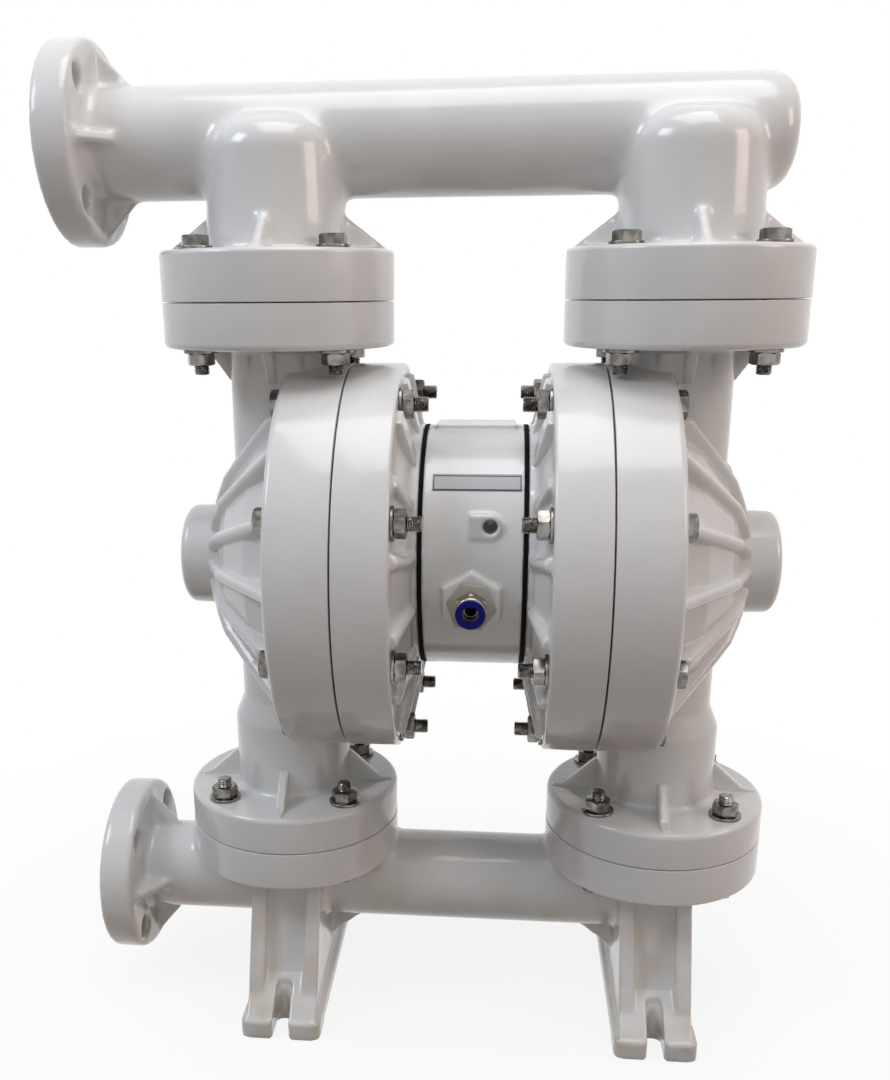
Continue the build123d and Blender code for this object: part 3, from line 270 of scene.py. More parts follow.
def moulded_polypropylene():
    """Injection moulded polypropylene: a milky white with a soft sheen that handling has made
    uneven, faint flow clouds, shallow sink and an orange-peel skin. A painted shade with a warm
    floor bounce darkens the lowest 140 mm. Soil gathers on the soles."""
    material, shader = new_finish("moulded_polypropylene", "white_polypropylene")
    link = material.node_tree.links.new
    place = add_node(material, "ShaderNodeTexCoord").outputs["Object"]
    clouds = add_node(material, "ShaderNodeTexNoise", [("Vector", place)], Scale=14.0, Detail=3.0)
    tone = add_node(material, "ShaderNodeValToRGB", [("Fac", clouds.outputs["Fac"])])
    tone.color_ramp.elements[0].position = 0.3
    tone.color_ramp.elements[0].color = linear("#DDDCDA")
    tone.color_ramp.elements[1].position = 0.7
    tone.color_ramp.elements[1].color = linear("#E6E5E3")
    # painted shade with a warm floor bounce on the lowest 140 mm, in clouds of about 40 mm
    height = add_node(material, "ShaderNodeSeparateXYZ", [("Vector", place)]).outputs["Z"]
    legs = add_node(material, "ShaderNodeMapRange", [("Value", height)],
                    From_Min=0.06, From_Max=0.14, To_Min=1.0, To_Max=0.0)
    painted_shade_clouds = add_node(material, "ShaderNodeTexNoise", [("Vector", place)], Scale=24.0, Detail=2.0)
    painted_shade_share = add_node(material, "ShaderNodeMapRange", [("Value", painted_shade_clouds.outputs["Fac"])],
                       From_Min=0.42, From_Max=0.66, To_Min=0.0, To_Max=0.75)
    painted_low_shade = add_node(material, "ShaderNodeMath", [(0, legs.outputs[0]), (1, painted_shade_share.outputs[0])],
                    operation="MULTIPLY")
    warm = add_node(material, "ShaderNodeMix",
                    [("Factor", painted_low_shade.outputs[0]), (6, tone.outputs["Color"])], data_type="RGBA")
    # CFC2AC is the painted shade's darker, warmer tone
    warm.inputs[7].default_value = linear("#CFC2AC")
    # floor soil on the lowest 34 mm, broken up by a 20 mm noise, heaviest at one toe
    low = add_node(material, "ShaderNodeMapRange", [("Value", height)],
                   From_Min=0.0, From_Max=0.034, To_Min=1.0, To_Max=0.0)
    grime = add_node(material, "ShaderNodeTexNoise", [("Vector", place)], Scale=50.0, Detail=3.0)
    from_toe = add_node(material, "ShaderNodeVectorMath", [(0, place)], operation="DISTANCE")
    from_toe.inputs[1].default_value = SOILED_TOE
    toe = add_node(material, "ShaderNodeMapRange", [("Value", from_toe.outputs["Value"])],
                   From_Min=0.012, From_Max=0.05, To_Min=1.0, To_Max=0.12)
    patch = add_node(material, "ShaderNodeMapRange", [("Value", grime.outputs["Fac"])],
                     From_Min=0.3, From_Max=0.6, To_Min=0.2, To_Max=0.9)
    held = add_node(material, "ShaderNodeMath", [(0, toe.outputs[0]), (1, patch.outputs[0])],
                    operation="MULTIPLY")
    soil = add_node(material, "ShaderNodeMath", [(0, low.outputs[0]), (1, held.outputs[0])],
                    operation="MULTIPLY")
    soiled = add_node(material, "ShaderNodeMix",
                      [("Factor", soil.outputs[0]), (6, warm.outputs[2])], data_type="RGBA")
    soiled.inputs[7].default_value = linear("#7E6A55")
    link(soiled.outputs[2], shader.inputs["Base Color"])
    # sheen varies with handling, in clouds of about 20 mm
    scuff = add_node(material, "ShaderNodeTexNoise", [("Vector", place)], Scale=45.0, Detail=4.0)
    gloss = add_node(material, "ShaderNodeMapRange", [("Value", scuff.outputs["Fac"])],
                     From_Min=0.3, From_Max=0.7, To_Min=0.17, To_Max=0.26)
    link(gloss.outputs[0], shader.inputs["Roughness"])
    # orange peel of about 1.2 mm over sink waves of about 30 mm
    peel = add_node(material, "ShaderNodeTexNoise", [("Vector", place)], Scale=800.0, Detail=2.0)
    waves = add_node(material, "ShaderNodeTexNoise", [("Vector", place)], Scale=32.0, Detail=1.0)
    wavy = add_node(material, "ShaderNodeBump", [("Height", waves.outputs["Fac"])], Strength=0.25,
                    Distance=0.0015)
    skin = add_node(material, "ShaderNodeBump",
                    [("Height", peel.outputs["Fac"]), ("Normal", wavy.outputs["Normal"])],
                    Strength=0.12, Distance=0.0002)
    link(skin.outputs["Normal"], shader.inputs["Normal"])
    surface_inputs(shader, IOR=1.49, Subsurface_Weight=0.08, Subsurface_Scale=0.004,
                   Coat_Weight=0.35, Coat_Roughness=0.06)
    return material


def plain_plastic(name, slot, colour, roughness, grain=0.1, ior=1.48):
    """Moulded or turned plastic of one colour, in clouds of 17 mm, with a skin whose 1.7 mm
    grain is drawn coarser than the real one so that it shows."""
    material, shader = new_finish(name, slot)
    place = add_node(material, "ShaderNodeTexCoord").outputs["Object"]
    noise = add_node(material, "ShaderNodeTexNoise", [("Vector", place)], Scale=600.0, Detail=3.0)
    cloud = add_node(material, "ShaderNodeTexNoise", [("Vector", place)], Scale=60.0, Detail=2.0)
    tone = add_node(material, "ShaderNodeValToRGB", [("Fac", cloud.outputs["Fac"])])
    base = np.array(linear(colour))
    tone.color_ramp.elements[0].color = (*(base[:3] * 0.86).tolist(), 1)
    tone.color_ramp.elements[1].color = tuple(base.tolist())
    material.node_tree.links.new(tone.outputs["Color"], shader.inputs["Base Color"])
    bump = add_node(material, "ShaderNodeBump", [("Height", noise.outputs["Fac"])], Strength=grain,
                    Distance=0.0003)
    material.node_tree.links.new(bump.outputs["Normal"], shader.inputs["Normal"])
    surface_inputs(shader, Roughness=roughness, IOR=ior)
    return material


def worked_metal(name, slot, colour, roughness, scale, stretch, dark=0.72):
    """Metal with tool marks: a noise, finer along the axes that stretch multiplies, in tone
    (down to dark times the colour) and in roughness (0.75 to 1.35 times the given one)."""
    material, shader = new_finish(name, slot)
    place = add_node(material, "ShaderNodeTexCoord").outputs["Object"]
    drawn = add_node(material, "ShaderNodeMapping", [("Vector", place)], Scale=stretch)
    marks = add_node(material, "ShaderNodeTexNoise", [("Vector", drawn.outputs[0])],
                     Scale=scale, Detail=4.0)
    tone = add_node(material, "ShaderNodeValToRGB", [("Fac", marks.outputs["Fac"])])
    base = np.array(linear(colour))
    tone.color_ramp.elements[0].position = 0.38
    tone.color_ramp.elements[0].color = (*(base[:3] * dark).tolist(), 1)
    tone.color_ramp.elements[1].position = 0.62
    tone.color_ramp.elements[1].color = tuple(base.tolist())
    material.node_tree.links.new(tone.outputs["Color"], shader.inputs["Base Color"])
    span = add_node(material, "ShaderNodeMapRange", [("Value", marks.outputs["Fac"])],
                    To_Min=roughness * 0.75, To_Max=roughness * 1.35)
    material.node_tree.links.new(span.outputs[0], shader.inputs["Roughness"])
    bump = add_node(material, "ShaderNodeBump", [("Height", marks.outputs["Fac"])], Strength=0.15,
                    Distance=0.0001)
    material.node_tree.links.new(bump.outputs["Normal"], shader.inputs["Normal"])
    surface_inputs(shader, Metallic=1.0)
    return material


EVEN = (1, 1, 1)
polypropylene = moulded_polypropylene()
# cold headed A2 stainless under a thin film of dust, uneven over 9 mm or so
stainless = worked_metal("stainless_steel", "stainless_steel", "#98938E", 0.2, 110.0, EVEN, 0.42)
# nitrile rubber sheet, dull black
nitrile = plain_plastic("nitrile_rubber", "gasket_rubber", "#0C0C0E", 0.8, 0.3, 1.2)
# turned fluoropolymer, waxy off-white
fluoropolymer = plain_plastic("fluoropolymer", "seat_ptfe", "#ECEBE6", 0.42)
# skived fluoropolymer sheet, a little duller
diaphragm_face = plain_plastic("fluoropolymer_sheet", "diaphragm_ptfe", "#E6E5DF", 0.5)
# sand cast aluminium, matt and grainy over 2 mm
cast_aluminium = worked_metal("cast_aluminium", "plate_metal", "#B9BABC", 0.5, 500.0, EVEN)
# ground steel, bright, its marks close together along X
ground_steel = worked_metal("ground_steel", "brushed_steel_parts", "#BDBBB6", 0.22, 700.0,
                            (12, 1, 1))
# turned natural acetal, milky
acetal = plain_plastic("natural_acetal", "spool_acetal", "#DAD8D0", 0.4)
# sintered bronze, brown and grainy
bronze = worked_metal("sintered_bronze", "bearing_bronze", "#B08A56", 0.45, 1200.0, EVEN)
# glass filled nylon, grey-beige and slightly dull
nylon = plain_plastic("glass_filled_nylon", "bushing_nylon", "#B4AEA4", 0.5, 0.2)
# nickel plate over turned brass, warm and bright
nickel = worked_metal("nickel_plate", "nickel_plate", "#B7AEA0", 0.18, 600.0, EVEN)
# moulded acetal dyed through, deep blue
blue_acetal = plain_plastic("blue_acetal", "blue_acetal", "#070F78", 0.3, 0.1, 1.22)


# the printed frame's middle and half length on each axis, and half its line's width, in metres
LABEL_FRAME = (("X", 0.0025, 0.0325), ("Z", 0.4747, 0.0045))
LABEL_LINE = 0.00035


def bordered_label():
    """Rolled aluminium label stock, dulled by lacquer, with a plain black line printed about
    1 mm in from its edge and nothing inside it. The line is where the larger of |x| and |z|,
    each less the frame's half length, is zero."""
    material = worked_metal("lacquered_aluminium", "bare_aluminium", "#A9ABAD", 0.5, 300.0,
                            (1, 30, 30))
    shader = material.node_tree.nodes["Principled BSDF"]
    link = material.node_tree.links.new
    place = add_node(material, "ShaderNodeTexCoord").outputs["Object"]
    split = add_node(material, "ShaderNodeSeparateXYZ", [("Vector", place)])
    insets = []
    for axis, middle, half in LABEL_FRAME:
        offset = add_node(material, "ShaderNodeMath", [(0, split.outputs[axis])],
                          operation="SUBTRACT")
        offset.inputs[1].default_value = middle
        size = add_node(material, "ShaderNodeMath", [(0, offset.outputs[0])], operation="ABSOLUTE")
        inset = add_node(material, "ShaderNodeMath", [(0, size.outputs[0])], operation="SUBTRACT")
        inset.inputs[1].default_value = half
        insets.append(inset.outputs[0])
    edge = add_node(material, "ShaderNodeMath", [(0, insets[0]), (1, insets[1])],
                    operation="MAXIMUM")
    line = add_node(material, "ShaderNodeMath", [(0, edge.outputs[0])], operation="COMPARE")
    line.inputs[1].default_value, line.inputs[2].default_value = 0.0, LABEL_LINE
    bare = shader.inputs["Base Color"].links[0].from_socket
    ink = add_node(material, "ShaderNodeMix", [("Factor", line.outputs[0]), (6, bare)],
                   data_type="RGBA")
    ink.inputs[7].default_value = linear("#1A1A1C")
    link(ink.outputs[2], shader.inputs["Base Color"])
    surface_inputs(shader, Metallic=0.35)
    return material


label_aluminium = bordered_label()
# sintered polyethylene, chalky
porous_plastic = plain_plastic("porous_polyethylene", "muffler_plastic", "#DEDDD9", 0.8, 0.6)

FINISHES = {
    "white_polypropylene": polypropylene, "stainless_steel": stainless, "gasket_rubber": nitrile,
    "diaphragm_ptfe": diaphragm_face, "seat_ptfe": fluoropolymer, "plate_metal": cast_aluminium,
    "brushed_steel_parts": ground_steel, "spool_acetal": acetal, "bearing_bronze": bronze,
    "bushing_nylon": nylon, "nickel_plate": nickel, "blue_acetal": blue_acetal,
    "bare_aluminium": label_aluminium, "muffler_plastic": porous_plastic,
}
for row in frame["record"]["subparts"]:
    node = frame["nodes"][row["node"]]
    node.data.materials.clear()
    node.data.materials.append(FINISHES[row["material_slot"]])

# ------------------------------------------------------------------ fluid caps

# outlines are (depth from the parting plane, radius)
RIM_DEPTH = FLUID_RIM_X - PARTING_X
CHAMBER_R, DOME_R, BOSS_R, BOSS_DEPTH = 104.0, 122.0, 41.0, 141.0
SKIN = [(RIM_DEPTH, DOME_R), (73.0, 104.0), (96.0, 75.0), (110.0, BOSS_R)]
CAVITY = [(2.5, CHAMBER_R), (43.3, CHAMBER_R), (61.0, 92.0), (84.0, 69.0), (98.0, 35.0),
          (98.0, 29.0), (129.0, 29.0), (129.0, 0.0)]
RIDGE = [(52.0, 142.0), (81.0, 105.0), (103.0, 76.0), (111.0, 58.0), (117.0, BOSS_R)]
RIB_COUNT, RIB_T = 16, 10.0
EVEN_RIB_END, ODD_RIB_END = 145.0, 129.0  # odd ribs stop short of the bolts' heads
RIB_COLUMNS, DENSE_COLUMNS, DENSE_HALF = 30, 21, 7.2  # columns per rib, and those close to it


def depth_at(profile, radius):
    """Depth of a (depth, radius) line at given radii, read by linear interpolation."""
    line = np.asarray(profile, float)[::-1]
    return np.interp(radius, line[:, 1], line[:, 0])


def smooth_max(a, b, width):
    """The larger of two heights, rounded where they are within width of each other:
    max(a, b) + width/4 * max(1 - |a - b|/width, 0) squared."""
    near = np.clip(1 - np.abs(a - b) / width, 0, None)
    return np.maximum(a, b) + 0.25 * width * near**2


def ribbed_dome(side):
    """Chamber cover turned about the rod's axis with radial ribs. Along one meridian the outline
    is cavity, rim, dome, boss. Of every 30 columns 21 stay at a set distance d from a rib's
    middle, where angle = asin(d/R), and the rest spread over the gap to the next rib. The depth
    is the rounded larger of the dome's depth and the rib's, which falls off as a half round of
    the rib's thickness."""
    rim = round_corners([(CHAMBER_GAP, CHAMBER_R), (CHAMBER_GAP, RIM_R), (RIM_DEPTH, RIM_R),
                         (RIM_DEPTH, DOME_R)], [0, 0.5, 5, 0], 8)
    rim = rim[rim[:, 1] > 152.6]
    skin = round_corners(SKIN, [0, 14, 22, 0], 8)
    boss = round_corners([(110, BOSS_R), (BOSS_DEPTH, BOSS_R), (BOSS_DEPTH, 0)], [0, 7, 0], 8)
    boss = boss[boss[:, 0] > 121]
    columns = RIB_COUNT * RIB_COLUMNS
    pitch = 2 * math.pi / RIB_COUNT
    last_dense = DENSE_COLUMNS - 1
    column, rib = np.arange(columns) % RIB_COLUMNS, np.arange(columns) // RIB_COLUMNS
    offsets = np.linspace(-DENSE_HALF, DENSE_HALF, DENSE_COLUMNS)
    offset = np.interp(column, np.arange(DENSE_COLUMNS), offsets)

    def angles(r):
        """Column angles at radius r: dense over the rib, even across the gap to the next."""
        r = np.maximum(r, 20.0)
        edge = np.arcsin(np.clip(DENSE_HALF / r, 0, 0.36))
        dense = np.arcsin(np.clip(offset / r, -0.36, 0.36))
        spread = edge + (pitch - 2 * edge) * (column - last_dense) / (RIB_COLUMNS - last_dense)
        return np.where(column <= last_dense, dense, spread) + rib * pitch

    def heights(r, angle):
        """Depth of the outside at radius r and each angle, from the dome and the nearest rib."""
        across = r * np.sin(np.abs((angle + pitch / 2) % pitch - pitch / 2))
        base = np.where(r > DOME_R, RIM_DEPTH, depth_at(skin, r))
        end = np.where((np.rint(angle / pitch) % 2) == 1, ODD_RIB_END, EVEN_RIB_END)
        crown = depth_at(RIDGE, r) - 40 * np.clip((r - end) / 6, 0, 1) ** 2
        half, flank = RIB_T / 2, RIB_T / 2 * 0.96
        round_off = half - np.sqrt(np.clip(half**2 - np.minimum(across, flank) ** 2, 0, None))
        fall = round_off + np.clip(across - flank, 0, None) * 6.0
        return smooth_max(base, crown - fall, 4.0)

    rows = []
    for depth, r in np.vstack([CAVITY[::-1], [(CHAMBER_GAP, CHAMBER_R)], rim]):
        rows.append((np.full(columns, depth), np.full(columns, r), angles(r)))
    for r in np.linspace(152.5, 41.6, 84):
        angle = angles(r)
        rows.append((heights(np.full(columns, r), angle), np.full(columns, r), angle))
    for depth, r in boss:
        rows.append((np.full(columns, depth), np.full(columns, r), angles(max(r, BOSS_R))))
    depth = PARTING_X + np.array([row[0] for row in rows])
    r = np.array([row[1] for row in rows])
    a = np.array([row[2] for row in rows])
    points = np.stack([depth, -r * np.cos(a), SHAFT_Z + r * np.sin(a)], -1)
    index = np.arange(r.size).reshape(r.shape)
    index[0], index[-1] = index[0, 0], index[-1, 0]
    lower, higher = index[:-1], index[1:]
    quads = np.stack([lower, np.roll(lower, -1, 1), np.roll(higher, -1, 1), higher], -1)
    quads = quads.reshape(-1, 4)
    first, last = quads[:, 0] == quads[:, 1], quads[:, 2] == quads[:, 3]
    tris = np.vstack([quads[first][:, [0, 2, 3]], quads[last][:, [0, 1, 2]]])
    return mirrored([tidy_shell(points.reshape(-1, 3), quads[~(first | last)], tris)], side)


UPPER_TUBE_R, LOWER_TUBE_R, COLLAR_R = 40.5, 42.0, 49.5
TUBE_BORE_R, COLLAR_BORE_R = 28.0, 38.5
UPPER_RIM_Z, LOWER_RIM_Z = 570.5, 197.4  # the towers' flanges, on the side of the chamber
UNDER = 0.2  # how far the tubes' blend skins lie under their surface


def tower_tubes(side):
    """Tubes and joint flanges over and under the chamber, each turned about the tower's axis."""
    foot = [TOWER_X, 0, 0]
    top, bottom = UPPER_Z - JOINT_GAP, LOWER_Z + JOINT_GAP
    upper = round_corners([(468, TUBE_BORE_R), (468, UPPER_TUBE_R), (UPPER_RIM_Z, UPPER_TUBE_R),
                           (UPPER_RIM_Z, JOINT_R), (top, JOINT_R), (top, TUBE_BORE_R)],
                          [0, 0, 6, 5, 0.5, 0], 8)
    lower = round_corners([(332, TUBE_BORE_R), (332, LOWER_TUBE_R), (278, LOWER_TUBE_R),
                           (260, COLLAR_R), (LOWER_RIM_Z, COLLAR_R), (LOWER_RIM_Z, JOINT_R),
                           (bottom, JOINT_R), (bottom, COLLAR_BORE_R), (240, COLLAR_BORE_R),
                           (248, TUBE_BORE_R)], [0, 0, 9, 9, 6, 5, 0.5, 0, 0, 0], 8)
    return mirrored([lathe(upper, foot, Z, X), lathe(lower, foot, Z, X)], side)


def cap_blends(side):
    """Hollow skins just under the tubes, flanges and dome, whose wide fillets show outside."""
    foot = [TOWER_X, 0, 0]
    upper_r, lower_r, collar_r = UPPER_TUBE_R - UNDER, LOWER_TUBE_R - UNDER, COLLAR_R - UNDER
    upper = [(495, 32), (495, upper_r), (571, upper_r), (571, 85), (580, 85), (580, 32)]
    rim_z = LOWER_RIM_Z - UNDER
    lower = [(330, 34), (330, lower_r), (272, lower_r), (261, collar_r), (rim_z, collar_r),
             (rim_z, 86), (186, 86), (186, 41), (262, 41), (270, 34)]
    dome = [(32, 150), (49.2, 150), (RIM_DEPTH, DOME_R), (73, 104), (96, 75), (104, 60),
            (104, 46), (88, 68), (64, 93), (44, 108), (32, 108)]
    dome = [(PARTING_X + depth - 0.3, r) for depth, r in dome]
    return mirrored([lathe(upper, foot, Z, X), lathe(lower, foot, Z, X),
                     lathe(dome, [0, 0, SHAFT_Z], X)], side)


def cap_gussets(side):
    """Four gussets each from the lower tube to its flange and from the upper tube to its.
    Outlines are (distance from the tower's axis, height)."""
    foot, thickness = [TOWER_X, 0, 0], 8.0
    lower = [(44, 192), (87, 192), (87, 198.2), (76, 200), (50.5, 223), (44, 223)]
    upper = [(36, 576), (66, 576), (66, 569.5), (58, 567), (41.5, 544), (36, 544)]
    shells = []
    for turn in np.arange(4) * math.pi / 2:
        outwards = np.array([math.cos(turn), math.sin(turn), 0])
        shells.append(web(lower, foot, outwards, Z, thickness))
        shells.append(web(upper, foot, outwards, Z, thickness))
    return mirrored(shells, side)


for word, side in SIDES.items():
    make_piece(f"fluid_cap_{word}_dome", ribbed_dome(side), polypropylene,
               stands_for=(f"fluid_cap_{word}",))
    make_piece(f"fluid_cap_{word}_towers", tower_tubes(side), polypropylene)
    blend_corners(make_piece(f"fluid_cap_{word}_blends", cap_blends(side), polypropylene), 3.0, 6)
    blend_corners(make_piece(f"fluid_cap_{word}_gussets", cap_gussets(side), polypropylene), 1.2, 3)

# ------------------------------------------------------------------ mouldings with eased corners

# voxel in millimetres and number of smoothing passes: corners are as round as passes * voxel^2
MOULDINGS = {
    "outlet_manifold": (2.7, 3), "inlet_manifold": (2.6, 4), "air_cap_left": (2.3, 3),
    "air_cap_right": (2.3, 3), "centre_body": (1.4, 2), "valve_block": (1.6, 4),
    "exhaust_muffler": (1.5, 2),
}
for word, (voxel, passes) in MOULDINGS.items():
    blend_corners(frame["nodes"][word], voxel, passes)


def flange_bands(mating, free, rounding):
    """Crisp rims round both joint flanges of a manifold."""
    band = edge_band(mating, free, JOINT_R + 0.25, rounding)
    return [lathe(band, [side * TOWER_X, 0, 0], Z, X) for side in (-1, 1)]


def fanned(front, tilt):
    """Unit vector square to X, tilt degrees up from level, towards the front (-1) or back (1)."""
    return np.array([0, front * math.cos(math.radians(tilt)), math.sin(math.radians(tilt))])


def cap_webs():
    """Webs of the air cap at side 1, front and back: two flat slabs above, and below them ribs
    with a round end and a half round back, each a tapered capsule lying from the hub to the rim."""
    slab = [(61, 86), (61, 149), (52.6, 149.2), (42.8, 102.2), (42.8, 86)]
    shells = []
    for front in (-1, 1):
        for tilt in (78.75, 56.25):
            shells.append(web(slab, [0, 0, SHAFT_Z], X, fanned(front, tilt), 15.4))
        for tilt in (11.25, -11.25, -33.75, -56.25, -78.75):
            outwards = fanned(front, tilt)
            line = 11.3 * X + 52 * outwards
            length = np.linalg.norm(line)
            capsule = round_corners([(0, 0), (0, 5.3), (length, 6.2), (length, 0)],
                                    [0, 5.2, 3, 0], 8)
            start = SHAFT_Z * Z + 46.3 * X + 98 * outwards
            shells.append(lathe(capsule, start, line, X, 40))
    return shells


def leg_frames():
    """Side ribs, toes, sloped shelves over the toes and the wall behind each slot, for the four
    leg faces. Rib, shelf and wall are (distance from the tower's axis, height), the toe (x, y)."""
    rib = [(48, 137), (60.3, 137), (62.3, 113), (87.3, 46), (96.5, 13), (48, 13)]
    shelf = [(60, 0.3), (108, 0.3), (108, 17), (74, 47), (60, 56)]
    behind_slot = [(60, 0.3), (80.5, 0.3), (80.5, 41.3), (74, 47), (60, 56)]
    toe = round_corners([(7, 80), (34.2, 80), (34.2, 110.2), (7, 110.2), (7, 80)],
                        [0, 0, 7, 3, 0], 5)
    shells = []
    for side in (-1, 1):
        foot = side * TOWER_X * X
        for front in (-1, 1):
            shells.append(web(behind_slot, foot, front * Y, Z, 16))
            for edge in (-1, 1):
                shells.append(web(rib, foot + edge * 23.3 * X, front * Y, Z, 13))
                shells.append(web(shelf, foot + edge * 18.4 * X, front * Y, Z, 22.8))
                shells.append(web(toe[:-1] * (edge, front), foot + 8.6 * Z, X, Y, 16.6))
    return shells


def outlet_blends():
    """Hollow skins of the pipe and its branches, smoothed far and just under their surface, so
    that only a wide fillet shows."""
    end_x = TOWER_X + 73.9
    pipe = round_corners([(end_x, 0), (end_x, 42.4), (-300, 42.4), (-300, 33), (end_x - 12, 33),
                          (end_x - 12, 0)], [0, 42.3, 0, 0, 30, 0], 16)
    branch = round_corners([(736.8, 0), (736.8, 50.3), (661, 54.2), (630, 54.2), (630, 43),
                            (726, 43), (726, 0)], [0, 25, 4, 0, 0, 20, 0], 10)
    return [lathe(pipe, [0, OUTLET_Y, OUTLET_Z], X)] + [
        lathe(branch, [side * TOWER_X, 0, 0], Z, X) for side in (-1, 1)]


OUTLET_BOLT_Z, INLET_BOLT_Z = UPPER_Z + OUTLET_FLANGE_T, LOWER_Z - INLET_FLANGE_T
make_piece("outlet_manifold_rims", flange_bands(UPPER_Z, OUTLET_BOLT_Z, 7), polypropylene)
make_piece("inlet_manifold_rims", flange_bands(LOWER_Z, INLET_BOLT_Z, 5), polypropylene)
blend_corners(make_piece("inlet_manifold_legs", leg_frames(), polypropylene), 1.6, 3)
blend_corners(make_piece("outlet_manifold_blends", outlet_blends(), polypropylene), 3.2, 30)
for word, side in SIDES.items():
    band = lathe(edge_band(PARTING_X, AIR_RIM_X, RIM_R + 0.2, 5, CHAMBER_GAP), [0, 0, SHAFT_Z], X,
                 segments=160)
    make_piece(f"air_cap_{word}_rim", mirrored([band], side), polypropylene)
    webs = make_piece(f"air_cap_{word}_webs", mirrored(cap_webs(), side), polypropylene)
    blend_corners(webs, 1.25, 3)

# ------------------------------------------------------------------ fasteners

BOLT_R, PITCH, FLATS = 5.95, 1.75, 19.0  # M12
THREAD_DEPTH = 0.95
HEAD_T, NUT_T, WASHER_T, WASHER_R = 7.5, 9.0, 2.5, 13.0
CHAMBER_PCD, JOINT_PCD = 282, 146


def threaded_shank(length, thread, origin, out, across):
    """Shank hanging from a bolt's head: plain, then a thread whose radius falls by up to its
    depth in a triangle wave of height/pitch less the share of a turn, then a blunt end."""
    start = -(length - thread)
    steps = int(thread / PITCH * 6)
    climb = np.linspace(start, -length + 0.9, steps)
    profile = [(0, 0), (0, BOLT_R), (start + 0.1, BOLT_R)] + [(h, BOLT_R) for h in climb]
    profile += [(-length, 4.7), (-length, 0)]

    def cut_thread(h, r, angle):
        """Radius less the triangle wave, along the threaded stretch only."""
        phase = (h / PITCH - angle / (2 * math.pi)) % 1.0
        depth = THREAD_DEPTH * np.abs(2 * phase - 1)
        return np.where((h <= start) & (h > -length + 0.5) & (r > 0), r - depth, r)

    return lathe(profile, origin, out, across, segments=20, bend=cut_thread)


def bolt_set(spots, out, across, grip, thread_end, head_washers):
    """Shells of bolts, nuts and washers, one of each a spot. A spot lies on the face that the
    head bears on, and out points away from the joint. Heads and nuts are turned by steps, so
    that no two neighbours stand alike."""
    out, across = np.asarray(out, float), np.asarray(across, float)
    square = np.cross(out, across)
    lift = WASHER_T if head_washers else 0.0
    length = lift + grip + WASHER_T + NUT_T + thread_end
    ring = round_corners([(0, BOLT_R + 0.4), (0, WASHER_R), (WASHER_T, WASHER_R),
                          (WASHER_T, BOLT_R + 0.4)], [0, 0.5, 0.5, 0], 3)
    bolts, nuts, washers = [], [], []
    for k, spot in enumerate(spots):
        spot = np.asarray(spot, float)
        head_face, nut_face = spot + out * lift, spot - out * grip
        head_turn, nut_turn = 0.61 * k + 0.2, 2.3 * k
        facing = np.cos(head_turn) * across + np.sin(head_turn) * square
        nut_facing = np.cos(nut_turn) * across + np.sin(nut_turn) * square
        bolts.append(hexagon(0, HEAD_T, FLATS, 0, head_face, out, facing, both_ends=False))
        bolts.append(threaded_shank(length, thread_end + 4, head_face, out, facing))
        nuts.append(hexagon(WASHER_T, WASHER_T + NUT_T, FLATS, BOLT_R + 0.15, nut_face, -out,
                            nut_facing))
        washers.append(lathe(ring, nut_face, -out, across, 40))
        if head_washers:
            washers.append(lathe(ring, spot, out, across, 40))
    return bolts, nuts, washers


def ring_spots(pcd, count, first):
    """Spots evenly round a pitch circle, the first at an angle in degrees."""
    angle = np.radians(first + 360 / count * np.arange(count))
    return np.stack([pcd / 2 * np.cos(angle), pcd / 2 * np.sin(angle)], -1)


def make_fasteners(joint, sets, ending=""):
    """One piece each of a joint's bolts, nuts and washers, standing for the nodes so named."""
    for kind, shells in zip(("bolts", "nuts", "washers"), sets):
        stood_for = f"{joint}_{kind}{ending}"
        make_piece(f"{stood_for}_made", shells, stainless, stands_for=(stood_for,))


for word, side in SIDES.items():
    spots = [(side * FLUID_RIM_X, y, SHAFT_Z + z) for y, z in ring_spots(CHAMBER_PCD, 8, 22.5)]
    make_fasteners("chamber", bolt_set(spots, side * X, Z, 91.0, 10.5, False), f"_{word}")

for word, z, out, grip, head_washers in (("outlet", OUTLET_BOLT_Z, Z, 72.5, True),
                                         ("inlet", INLET_BOLT_Z, -Z, 64.4, False)):
    spots = [(side * TOWER_X + x, y, z)
             for side in (-1, 1) for x, y in ring_spots(JOINT_PCD, 4, 45)]
    make_fasteners(f"{word}_joint", bolt_set(spots, out, X, grip, 7.0, head_washers))

# ------------------------------------------------------------------ air inlet

AIR_IN = [0.0, -103.0, 387.0]
BUSHING_TURN = 0.38
bushing = hexagon(0, 6, 33, 6.6, AIR_IN, -Y, (math.cos(BUSHING_TURN), 0, math.sin(BUSHING_TURN)))
stem = round_corners([(-21, 6.6), (-21, 10.3), (0.5, 10.3), (0.5, 6.6)], [0, 1, 0, 0])
make_piece("air_inlet_bushing_made", [bushing, lathe(stem, AIR_IN, -Y)], nylon,
           stands_for=("air_inlet_bushing",))
barrel = round_corners([(12.5, 8.05), (12.5, 11.6), (22, 11.6), (22, 8.05)], [0, 0, 1.6, 0.4])
tube_stop = [(-18, 4.5), (-18, 6.4), (6.5, 6.4), (6.5, 8.2), (13.2, 8.2), (13.2, 4.5)]
make_piece("push_in_body_made", [hexagon(6, 13, 22, 4.5, AIR_IN, -Y, X),
                                 lathe(barrel, AIR_IN, -Y), lathe(tube_stop, AIR_IN, -Y)],
           nickel, stands_for=("push_in_body",))
ring = round_corners([(15.9, 6.15), (15.9, 8.0), (23.9, 8.0), (23.9, 11.0), (27.1, 11.0),
                      (27.1, 6.15)], [0.3, 0.5, 0, 0.5, 1.1, 0.9])
make_piece("release_collar_made", [lathe(ring, AIR_IN, -Y)], blue_acetal, body="collar",
           stands_for=("release_collar",))

# ------------------------------------------------------------------ stage, lights and camera


